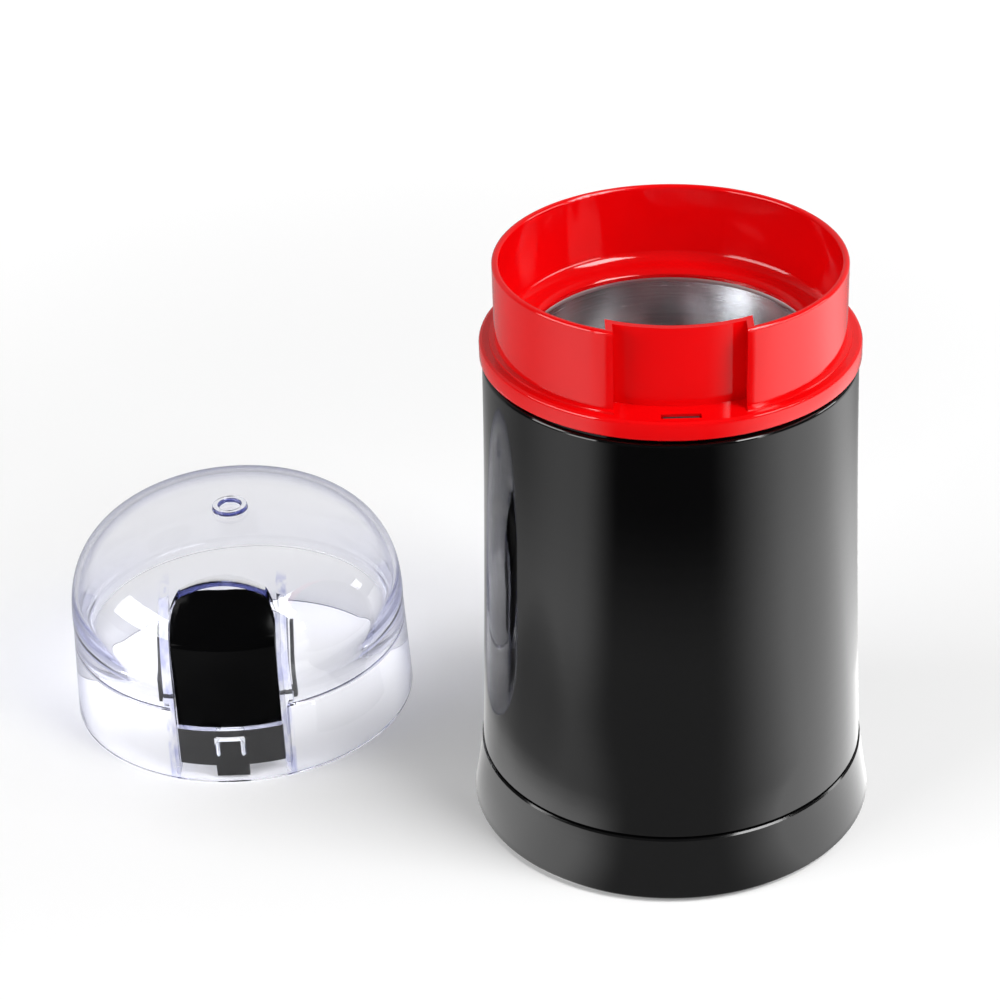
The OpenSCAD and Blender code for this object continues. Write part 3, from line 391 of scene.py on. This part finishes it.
bar_copper = Finish("bar_copper", Metallic=1.0)
bar_wear = bar_copper.noise(0.0012, 4, (1, 1, 9))
bar_copper.feed(
    Base_Color=bar_copper.mix(bar_wear, (0.50, 0.20, 0.09), (0.78, 0.42, 0.24)),
    Roughness=bar_wear * 0.2 + 0.2,
).bump(bar_wear, 0.00001)
dress(bar_copper, "commutator")


# ---------- Cup collar, seal and bowl ----------
# The red gloss collar is one moulding: a flange over the body and an upstand round the bowl.
# A drawn steel bowl hangs from its rim on a silicone ring below the collar's shelf.
gloss_red = Finish("gloss_red", IOR=1.5)
red_depth = gloss_red.noise(0.015, 3)
gloss_red.feed(
    Base_Color=gloss_red.mix(red_depth, (0.70, 0.0006, 0.0014), (0.76, 0.0010, 0.0024)),
    Roughness=red_depth * 0.05 + 0.07,
).bump(gloss_red.noise(0.008, 1), 0.00001)
dress(gloss_red, "cup_collar")
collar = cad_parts["cup_collar"]
collar.modifiers.new("join", "WELD").merge_threshold = 0.00001
rounding = collar.modifiers.new("rounding", "BEVEL")
rounding.width = 0.00035
rounding.segments = 3
rounding.limit_method = "ANGLE"
rounding.angle_limit = math.radians(40)

silicone = Finish("silicone", Subsurface_Weight=0.1)
silicone_bloom = silicone.noise(0.003, 3)
silicone.feed(
    Base_Color=silicone.mix(silicone_bloom, (0.74, 0.73, 0.70), (0.83, 0.82, 0.79)),
    Roughness=silicone_bloom * 0.15 + 0.5,
)
dress(silicone, "bowl_seal")

spun_steel = Finish("spun_steel", Metallic=1.0)
spin_rings = spun_steel.node(
    "TexNoise",
    {"noise_dimensions": "1D"},
    {"W": spun_steel.radius() + spun_steel.axis("Z"), "Scale": 2200, "Detail": 3},
)
spin_patches = spun_steel.noise(0.006, 3)
spun_steel.feed(
    Base_Color=spun_steel.mix(spin_rings, (0.55, 0.56, 0.58), (0.74, 0.75, 0.76)),
    Roughness=spin_rings * 0.12 + spin_patches * 0.1 + 0.12,
).bump(spin_rings, 0.000012)
dress(spun_steel, "grinding_bowl")


# ---------- Blade, hub and nut ----------
# The blade is pressed from stainless sheet with two bent arms, ground on their leading edges.
# A hub on the shaft carries it through the bowl's seal, and a nut clamps it down.
brushed_steel = Finish("brushed_steel", Metallic=1.0)
brush_lines = brushed_steel.noise(0.0003, 4, (0.08, 1, 1))
brushed_steel.feed(
    Base_Color=brushed_steel.mix(brush_lines, (0.52, 0.53, 0.55), (0.72, 0.73, 0.74)),
    Roughness=brush_lines * 0.2 + 0.16,
).bump(brush_lines, 0.000006)
dress(brushed_steel, "blade", "blade_hub")


# ---------- Lid shell ----------
# The lid is one clear polystyrene moulding: a drafted skirt, a shoulder that rests on the
# collar's lip, and a dome with a gate ring. Its front has an arched window with thick jambs.
LID = Vector((-0.118, 0.052, 0))  # where the lid stands on the table
EDGE = 0.047  # outer radius of its edge
DRAFT = 0.0013  # by which the skirt narrows up to the dome
WALL = 0.0018
SKIRT = 0.026  # height of the skirt
CROWN = 0.0585  # height of the dome
ROUNDNESS = 2.8  # exponent of the dome's curve
SHOULDER = 0.0206  # height of the step inside, which rests on the collar
LEDGE = 0.0021  # by which the wall thickens inwards above that step
WINDOW = 0.0141  # half the window's width
SILL = 0.0164  # height of the window's sill
HEAD = 0.0534  # height of the window's head
POCKET = 0.0368  # from the lid's axis forward to the back of the jambs
BELOW = -0.001  # where forms that cut the lid's edge start


def spun(profile, steps=256):
    """Points and faces of a closed outline, as (radius, height), turned about the axis."""
    points, rings = [], []
    for radius, height in profile:
        if radius < 1e-7:
            rings.append([len(points)])
            points.append(Vector((0, 0, height)))
            continue
        rings.append(range(len(points), len(points) + steps))
        for n in range(steps):
            turn = 2 * math.pi * (n + 0.5) / steps
            points.append(Vector((radius * math.cos(turn), radius * math.sin(turn), height)))
    faces = []
    for first, second in zip(rings, rings[1:] + rings[:1]):
        for n in range(steps):
            m = (n + 1) % steps
            if len(first) == 1 and len(second) == 1:
                break
            if len(first) == 1:
                faces.append((first[0], second[m], second[n]))
            elif len(second) == 1:
                faces.append((first[n], first[m], second[0]))
            else:
                faces.append((first[n], first[m], second[m], second[n]))
    return points, faces


def prism(outline, across, low, high):
    """Points and faces of a flat outline pushed along the X, Y or Z axis.

    Its corners are (y, z) along X, (x, z) along Y and (x, y) along Z.
    """
    if across != "Y":
        outline = outline[::-1]
    places = {"X": (2, 0, 1), "Y": (0, 2, 1), "Z": (0, 1, 2)}[across]
    points = []
    for reach in (low, high):
        for u, v in outline:
            points.append(Vector([(u, v, reach)[n] for n in places]))
    size = len(outline)
    faces = [tuple(range(size)), tuple(reversed(range(size, 2 * size)))]
    faces += [((n + 1) % size, n, n + size, (n + 1) % size + size) for n in range(size)]
    return points, faces


def block(outline, across, low, high):
    """A plain form of a flat outline pushed along an axis, as in prism."""
    return form(*prism(outline, across, low, high))


def carve(piece, operation, tool):
    """Cuts a closed form from a piece, joins it on, or keeps what both share."""
    step = piece.modifiers.new("carve", "BOOLEAN")
    step.operation = operation
    step.solver = "EXACT"
    step.object = tool
    graph = bpy.context.evaluated_depsgraph_get()
    made = bpy.data.meshes.new_from_object(piece.evaluated_get(graph))
    piece.modifiers.clear()
    piece.data = made
    bpy.data.objects.remove(tool)
    return piece


def dome_line(inset, steps=56):
    """The lid's outline from its edge to its crown, moved in by inset."""
    top = EDGE - DRAFT - inset
    rise = CROWN - inset - SKIRT
    line = [(EDGE - inset - DRAFT * n / 6, SKIRT * n / 6) for n in range(6)]
    for n in range(steps + 1):
        turn = math.pi / 2 * n / steps
        line.append(
            (
                top * math.cos(turn) ** (2 / ROUNDNESS) if n < steps else 0.0,
                SKIRT + rise * math.sin(turn) ** (2 / ROUNDNESS),
            )
        )
    return line


def dome_block(inset):
    """A solid form of the lid's outline, moved in by inset, that starts below its edge."""
    line = dome_line(inset)
    return form(*spun([(0.0, BELOW), (line[0][0], BELOW)] + line))


def arch(half, low, top, corner=0.0085, crown=0.03, steps=20):
    """An outline that is straight up to rounded corners and a bowed head, as (x, height)."""
    right = [(half, low)]
    for n in range(steps + 1):
        turn = math.pi / 2 * n / steps
        x = half - corner + corner * math.cos(turn)
        z = top - corner + corner * math.sin(turn)
        right.append((x, min(z, top - crown + math.sqrt(crown * crown - x * x))))
    for n in range(1, 7):
        x = (half - corner) * (1 - n / 6)
        right.append((x, top - crown + math.sqrt(crown * crown - x * x)))
    return right + [(-x, z) for x, z in reversed(right[:-1])]


# The n-shaped groove round the tab is cut from inside: two legs and a bar, V-shaped.
LEG = 0.0033  # from the lid's middle to a leg
GROOVE = 0.0010  # half the groove's width
GROOVE_MOUTH, GROOVE_TIP = -0.0438, -0.0461  # from the lid's axis, in Y
LEG_FOOT, LEG_TOP = 0.0082, 0.0130  # heights of the legs' feet and of the bar
HIGHLIGHT_IN, HIGHLIGHT_OUT = LEG - 0.0007, LEG + 0.0008  # its painted highlight, a pale strip along the legs
HIGHLIGHT_BAR = LEG_TOP - 0.0007  # foot of the painted highlight along the bar
HIGHLIGHT_RIM = 0.00005  # how softly the strips end

clear_shell = Finish("clear_shell", IOR=1.5, Transmission_Weight=1.0)
handling = clear_shell.noise(0.03, 3)
from_middle = clear_shell.maths("ABSOLUTE", clear_shell.axis("X") - LID.x)
forward = clear_shell.axis("Y") - LID.y
height = clear_shell.axis("Z")
lean = clear_shell.node(
    "SeparateXYZ", None, {0: clear_shell.node("NewGeometry", out="Normal")}, out="Z"
)
edge_on = clear_shell.ramp_up(
    clear_shell.node("LayerWeight", None, {"Blend": 0.5}, out="Facing"), 0.55, 0.97
)
# Painted shade: the gate ring's upright walls are tinted a deep dark blue.
gate_wall = clear_shell.ramp_up(height, CROWN + 0.0001, CROWN + 0.0003) * clear_shell.ramp_up(
    lean * lean, 0.6, 0.3
)
jamb_skin = (
    clear_shell.within(from_middle, WINDOW - 0.0002, WINDOW + 0.0028, 0.0004)
    * clear_shell.ramp_up(forward, -0.026, -0.029)
    * clear_shell.ramp_up(clear_shell.noise(0.003, 2, (1, 1, 0.4)), 0.42, 0.60)
)
# Painted shade: where the shell is seen edge-on it is tinted a darker violet.
edge_on_tint = clear_shell.mix(edge_on, (1.0, 1.0, 1.0), (0.30, 0.32, 0.52))
jamb_tint = clear_shell.mix(jamb_skin, edge_on_tint, (0.62, 0.64, 0.86))
clear_shell.feed(
    Base_Color=clear_shell.mix(gate_wall, jamb_tint, (0.10, 0.11, 0.42)),
    Roughness=handling * 0.01 + 0.003,
).bump(clear_shell.noise(0.016, 1), 0.000006)
see_through = clear_shell.node(
    "MixShader",
    None,
    {
        0: clear_shell.node("LightPath", out="Is Shadow Ray"),
        1: Signal(clear_shell, clear_shell.shader.outputs[0]),
        2: clear_shell.node("BsdfTransparent", None, {"Color": (0.98, 0.98, 0.99)}),
    },
)
leg_or_bar = clear_shell.maths(
    "MAXIMUM",
    clear_shell.within(from_middle, HIGHLIGHT_IN, HIGHLIGHT_OUT, HIGHLIGHT_RIM),
    clear_shell.ramp_up(height, HIGHLIGHT_BAR, HIGHLIGHT_BAR + HIGHLIGHT_RIM),
)
# Painted highlight: the groove's faces show a pale diffuse white, so that the n shape reads
# bright.
groove_painted_highlight = (
    leg_or_bar
    * clear_shell.ramp_up(from_middle, HIGHLIGHT_OUT, HIGHLIGHT_OUT - HIGHLIGHT_RIM)
    * clear_shell.ramp_up(forward, GROOVE_TIP + 0.0011, GROOVE_TIP + 0.00095)
    * clear_shell.ramp_up(forward, GROOVE_TIP - 0.00015, GROOVE_TIP - 0.0001)
    * clear_shell.within(height, LEG_FOOT - 0.0002, LEG_TOP + 0.0012, 0.0001)
)
clear_shell.show(
    Surface=clear_shell.node(
        "MixShader",
        None,
        {
            0: groove_painted_highlight,
            1: see_through,
            2: clear_shell.node("BsdfDiffuse", None, {"Color": (0.80, 0.82, 0.88)}),
        },
    ),
    Volume=clear_shell.node(
        "VolumeAbsorption", None, {"Color": (0.62, 0.64, 0.81), "Density": 55}
    ),
)

CROWN_FLAT = 0.0055  # radius of the flat round the gate ring
edge_rounding = [(0.04675, 0.0), (0.04698, 0.0003)]
outside = [(r, z) for r, z in edge_rounding + dome_line(0)[1:] if r > CROWN_FLAT]
gate_ring = [
    (0.00490, 0.0), (0.00472, 0.0002), (0.00470, 0.0009), (0.00455, 0.0011),
    (0.00330, 0.0011), (0.00312, 0.0009), (0.00310, 0.0002), (0.00290, 0.0), (0.0, 0.0),
]
BLEND = 0.017  # height over which the thicker wall runs out into the dome
inside = []
for r, z in reversed(dome_line(WALL)):
    if z > SKIRT - 1e-6:
        rise = min(1, (z - SHOULDER) / BLEND)
        inside.append((r - LEDGE * (1 - rise * rise * (3 - 2 * rise)), z))
shoulder = [
    (0.0419, 0.0238), (0.0418, 0.0219), (0.0418, 0.0209), (0.0419, 0.0207),
    (0.0421, SHOULDER), (0.04405, SHOULDER), (0.04418, 0.0204), (0.04518, 0.0003),
    (0.04545, 0.0),
]
lid_shell = mesh_piece(
    "clear_lid_shell",
    *spun(outside + [(r, CROWN + z) for r, z in gate_ring] + inside + shoulder),
    "lid",
    clear_shell,
    "clear_plastic",
)

# Each jamb is a thin rib down to the edge, and a thick one above the shoulder. Its back leans
# in as it rises, as the button's cover does.
LEAN_IN, LEAN_FOOT, LEAN_TOP = 0.0054, 0.033, 0.043
for side in (-1, 1):
    for start, thick, foot, inset in (
        (-0.0001, 0.0011, 0.0009, 0.0004),
        (0.0010, 0.0024, 0.0212, 0.00055),
    ):
        edges = sorted((side * (WINDOW + start), side * (WINDOW + thick)))
        back = -POCKET - inset / 4
        jamb = block(
            [(-0.048, foot), (back, foot), (back, LEAN_FOOT), (back + LEAN_IN, LEAN_TOP),
             (back + LEAN_IN, 0.060), (-0.048, 0.060)],
            "X", *edges,
        )
        carve(lid_shell, "UNION", carve(dome_block(inset), "INTERSECT", jamb))
carve(lid_shell, "DIFFERENCE", block(arch(WINDOW, SILL, HEAD), "Y", -0.049, -0.026))

# Low in the window's width only a skin of the wall is left in front of the button's panel.
SKIN = WALL - 0.00005
room = block(
    [(-WINDOW, -0.002), (WINDOW, -0.002), (WINDOW, 0.0286), (-WINDOW, 0.0286)],
    "Y", -0.047, -0.027,
)
carve(lid_shell, "DIFFERENCE", carve(dome_block(SKIN), "INTERSECT", room))
for leg in (-LEG, LEG):
    notch = [(leg - GROOVE, GROOVE_MOUTH), (leg, GROOVE_TIP), (leg + GROOVE, GROOVE_MOUTH)]
    carve(lid_shell, "DIFFERENCE", block(notch, "Z", LEG_FOOT, LEG_TOP))
notch = [
    (GROOVE_MOUTH, LEG_TOP - GROOVE), (GROOVE_MOUTH, LEG_TOP + GROOVE), (GROOVE_TIP, LEG_TOP),
]
carve(lid_shell, "DIFFERENCE", block(notch, "X", -LEG - 0.0004, LEG + 0.0004))
lid_shell.data.transform(Matrix.Translation(LID))
smooth(lid_shell)
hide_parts("lid_dome")


# ---------- Lid button, its cover and springs ----------
# The gloss black button slides in the window's pocket and is closed in by a satin black cover.
# Two springs under its rib lift it, and its tab pushes the switch's rod through the collar.
button_black = Finish("button_black", IOR=1.45, Specular_IOR_Level=0.05)
button_haze = button_black.noise(0.01, 3)
button_black.feed(
    Base_Color=button_black.mix(
        button_haze, (0.0014, 0.0014, 0.0016), (0.0026, 0.0026, 0.0028)
    ),
    Roughness=button_haze * 0.05 + 0.08,
).bump(button_black.noise(0.006, 1), 0.000008)

PLAY = 0.0003  # between the button and the window
FACE = 0.04407  # radius of the button's upright face
PAD_FRONT, PAD_FOOT = 0.0433, 0.0418  # radius and height where the thumb pad starts
PAD_BACK, PAD_TOP = 0.0333, 0.0529  # and where it ends
DISH = 0.0009  # depth of the pad's hollow
PAD_STEPS = 11
face_line = [
    (0.0423, 0.004), (0.0439, 0.004), (FACE, 0.0042), (FACE, 0.0400),
    (0.04398, 0.0406), (0.04372, 0.0412), (0.0434, 0.0417),
]
for n in range(1, PAD_STEPS + 1):
    rise = n / PAD_STEPS
    face_line.append((
        PAD_FRONT + (PAD_BACK - PAD_FRONT) * rise - DISH * math.sin(math.pi * rise),
        PAD_FOOT + (PAD_TOP - PAD_FOOT) * rise,
    ))
back_line = [(0.0328, 0.0512), (0.0400, 0.0408), (0.0423, 0.0385)]
button = mesh_piece(
    "gloss_lid_button", *spun(face_line + back_line), "button", button_black, "black_gloss"
)

# The face fills the window. Two cheeks guide it between the jambs, the rib rests on the
# springs, and the tab reaches down to the switch's slot.
button_front = arch(WINDOW - PLAY, 0.002, HEAD - PLAY)
carve(button, "INTERSECT", block(button_front, "Y", -0.049, -0.0275))
cheek = [(-0.0416, 0.0230), (-0.0374, 0.0230), (-0.0374, 0.0398), (-0.0416, 0.0398)]
for side in (-1, 1):
    edges = sorted((side * 0.0124, side * (WINDOW - PLAY)))
    carve(button, "UNION", block(cheek, "X", *edges))
rib = [(-0.0419, 0.0350), (-0.0374, 0.0350), (-0.0374, 0.0366), (-0.0419, 0.0366)]
carve(button, "UNION", block(rib, "X", -0.0131, 0.0131))
tab = [
    (-0.0443, 0.0040), (-0.0438, 0.0006), (-0.0427, 0.0006), (-0.0427, 0.0128),
    (-0.0443, 0.0128),
]
carve(button, "UNION", block(tab, "X", -0.0043, 0.0043))
button.data.transform(Matrix.Translation(LID))
smooth(button, 28)
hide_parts("lid_button")


def soften(piece, width, crease=28, steps=2):
    """Rounds the edges of a piece where its faces meet at more than crease degrees."""
    step = piece.modifiers.new("soften", "BEVEL")
    step.width = width
    step.segments = steps
    step.limit_method = "ANGLE"
    step.angle_limit = math.radians(crease)


soften(button, 0.0002)

cover = mesh_piece(
    "button_pocket_cover",
    *prism(
        [(-POCKET, 0.0226), (-0.0352, 0.0226), (-0.0352, 0.0333), (-0.0298, 0.0431),
         (-0.0298, 0.0505), (-0.0314, 0.0505), (-0.0314, 0.0430), (-POCKET, 0.0330)],
        "X", -0.0146, 0.0146,
    ),
    "lid",
    satin_black,
    "black_matte",
)

# The plate closes the pocket from behind. Its clips grip the jambs from outside, a thin
# bridge joins them to its foot, and a seat in front of it carries the springs.
cover_front = arch(0.0135, 0.020, 0.0490, 0.006)
carve(cover, "INTERSECT", block(cover_front, "Y", -0.040, -0.026))
clip = [
    (-0.0392, 0.0227), (-0.0353, 0.0227), (-0.0353, 0.0333), (-0.0308, 0.0415),
    (-0.0325, 0.0415), (-0.0372, 0.0335), (-0.0392, 0.0300),
]
for side in (-1, 1):
    edges = sorted((side * 0.0169, side * 0.0178))
    carve(cover, "UNION", block(clip, "X", *edges))
bridge = [(-0.0367, 0.0227), (-0.0354, 0.0227), (-0.0354, 0.0234), (-0.0367, 0.0234)]
carve(cover, "UNION", block(bridge, "X", -0.0171, 0.0171))
spring_seat = [(-0.0409, 0.0216), (-0.0360, 0.0216), (-0.0360, 0.0230), (-0.0409, 0.0230)]
carve(cover, "UNION", block(spring_seat, "X", -0.0080, 0.0080))
cover.data.transform(Matrix.Translation(LID))
smooth(cover, 30)
soften(cover, 0.0002)
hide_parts("button_cover")
dress(button_black, "lid_button")
dress(satin_black, "button_cover")

SPRING_Y = LID.y - 0.0396
SPRING_LOW, SPRING_HIGH = 0.02305, 0.03495
button_coils = mesh_piece(
    "button_return_springs",
    *coil(
        [(LID.x + side * 0.0045, SPRING_Y) for side in (-1, 1)],
        0.0015, 0.00035, SPRING_LOW, SPRING_HIGH, 5,
    ),
    "lid",
    zinc,
    "zinc_steel",
)
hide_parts("button_springs")
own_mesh(button_coils)
dress(zinc, "button_springs")


# ---------- Table, light and camera ----------
# A plain pale table runs back without an edge, under three soft lamps and an even grey sky.
# In mirror images the table is black, with painted reflections: fields beside the grinder that
# glow only there, under a dim sky that grows paler toward the back. The camera and clear plastic
# see a white sky.
TABLE = -0.0002  # just under the foot ring and the lid's edge
FAR = 3  # from the grinder to the table's edges
table_mesh = bpy.data.meshes.new("table")
table_mesh.from_pydata(
    [(-FAR, -FAR, TABLE), (FAR, -FAR, TABLE), (FAR, FAR, TABLE), (-FAR, FAR, TABLE)],
    [],
    [(0, 1, 2, 3)],
)
table = bpy.data.objects.new("table", table_mesh)
bpy.context.scene.collection.objects.link(table)
paper = Finish("paper", Roughness=0.9, Emission_Strength=1.0)
seen = paper.node("LightPath", out="Is Camera Ray")
through = paper.node("LightPath", out="Is Transmission Ray")
glossed = paper.node("LightPath", out="Is Glossy Ray") * (1 - through)
reach = paper.radius()

# Painted reflections that glow only in mirror images, by the angle round the grinder from its
# front and the distance.
around = paper.maths("ARCTAN2", paper.axis("X"), paper.axis("Y") * -1)
left_painted_reflection = (
    paper.ramp_up(around + paper.ramp_up(reach, 0.085, 0.14, 0, 0.20), -0.35, -0.75)
    * paper.ramp_up(around, -1.75, -1.05, 0.36)
    * (paper.ramp_up(reach, 0.075, 0.095, 1.7, 0.5) + paper.ramp_up(reach, 0.12, 0.19, 0, 0.5))
)
right_painted_reflection = (
    paper.ramp_up(around - paper.ramp_up(reach, 0.085, 0.14, 0, 0.05), 0.25, 1.20)
    * paper.ramp_up(reach, 0.075, 0.095, 1.7, 0.92)
    * paper.ramp_up(around, 2.6, 1.8, 0.186)
)
near_painted_reflection = paper.ramp_up(reach, 0.16, 0.26, 0.26, 0.0)

# Painted shade: in mirror images the table in front of the lid glows a little less.
shade_x = (paper.axis("X") + 0.123) / 0.045
shade_y = (paper.axis("Y") + 0.030) / 0.035
lid_painted_shade = paper.ramp_up(shade_x * shade_x + shade_y * shade_y, 0.2, 1.8, 0.7)
painted_reflection = paper.maths(
    "MINIMUM", (left_painted_reflection * 0.95 + right_painted_reflection * 2.0 + near_painted_reflection) * lid_painted_shade, 2.0
)

# The camera sees the table grow white with distance. Through clear plastic it is a little
# paler beyond the lid's foot.
backdrop = paper.ramp_up(reach, 0.2, 0.8, 0.13, 0.55) + paper.ramp_up(
    reach, 0.8, 1.9, 0.0, 0.45
)
lid_x, lid_y = paper.axis("X") - LID.x, paper.axis("Y") - LID.y
beyond = paper.ramp_up(lid_x * lid_x + lid_y * lid_y, 0.045**2, 0.055**2, 0.0, 0.12)
direct = paper.mix(through, paper.mix(seen, (0, 0, 0), paper.grey(backdrop)), paper.grey(beyond))
# For mirror images the table's colour is black, and its glow is the painted reflections.
paper.feed(
    Base_Color=paper.mix(glossed, (0.80, 0.80, 0.80), (0.0, 0.0, 0.0)),
    Emission_Color=paper.mix(glossed, direct, paper.grey(painted_reflection)),
)
table_mesh.materials.append(paper.material)

world = bpy.data.worlds.new("sky")
bpy.context.scene.world = world
world.use_nodes = True
sky = Board(world.node_tree)
heading = sky.node("SeparateXYZ", None, {0: sky.node("TexCoord", out="Generated")}, out="Y")
lighting = sky.mix(
    sky.node("LightPath", out="Is Glossy Ray"),
    (0.14, 0.14, 0.14),
    sky.grey(sky.ramp_up(heading, 0.2, 0.7, 0.07, 0.35)),
)
white = sky.maths(
    "MAXIMUM",
    sky.node("LightPath", out="Is Camera Ray"),
    sky.node("LightPath", out="Is Transmission Ray"),
)
sky.plug(sky.nodes["Background"].inputs["Color"], sky.mix(white, lighting, (1, 1, 1)))


AIM = Vector((-0.04, 0.02, 0.07))  # between the grinder and its lid


def lamp(name, place, width, height, power):
    """A soft lamp that faces the grinder and its lid."""
    light = bpy.data.lights.new(name, "AREA")
    light.shape = "RECTANGLE"
    light.size = width
    light.size_y = height
    light.energy = power
    holder = bpy.data.objects.new(name, light)
    holder.location = place
    holder.rotation_euler = (AIM - Vector(place)).to_track_quat("-Z", "Y").to_euler()
    bpy.context.scene.collection.objects.link(holder)


lamp("key_lamp", (1.15, -0.72, 1.75), 1.0, 1.0, 40)
lamp("left_lamp", (-1.80, -0.70, 0.90), 1.7, 0.9, 30)
lamp("right_lamp", (1.80, -0.40, 0.72), 2.2, 0.4, 18)

camera_data = bpy.data.cameras.new("camera")
camera_data.lens = 97.2
camera_data.sensor_width = 36
camera_data.shift_x = -0.1614
camera = bpy.data.objects.new("camera", camera_data)
camera.location = (-0.0333, -0.5898, 0.4349)
turn = Matrix.Rotation(math.radians(-3), 3, "Z")
pitch = Matrix.Rotation(math.radians(59.53), 3, "X")
roll = Matrix.Rotation(math.radians(-0.188), 3, "Z")
camera.rotation_euler = (turn @ pitch @ roll).to_euler()

scene = bpy.context.scene
scene.collection.objects.link(camera)
scene.camera = camera
scene.view_settings.view_transform = "Standard"
# Light passes along inside the lid's jambs and shoulder by many bounces.
scene.cycles.max_bounces = 32
scene.cycles.glossy_bounces = 24
scene.cycles.transmission_bounces = 32
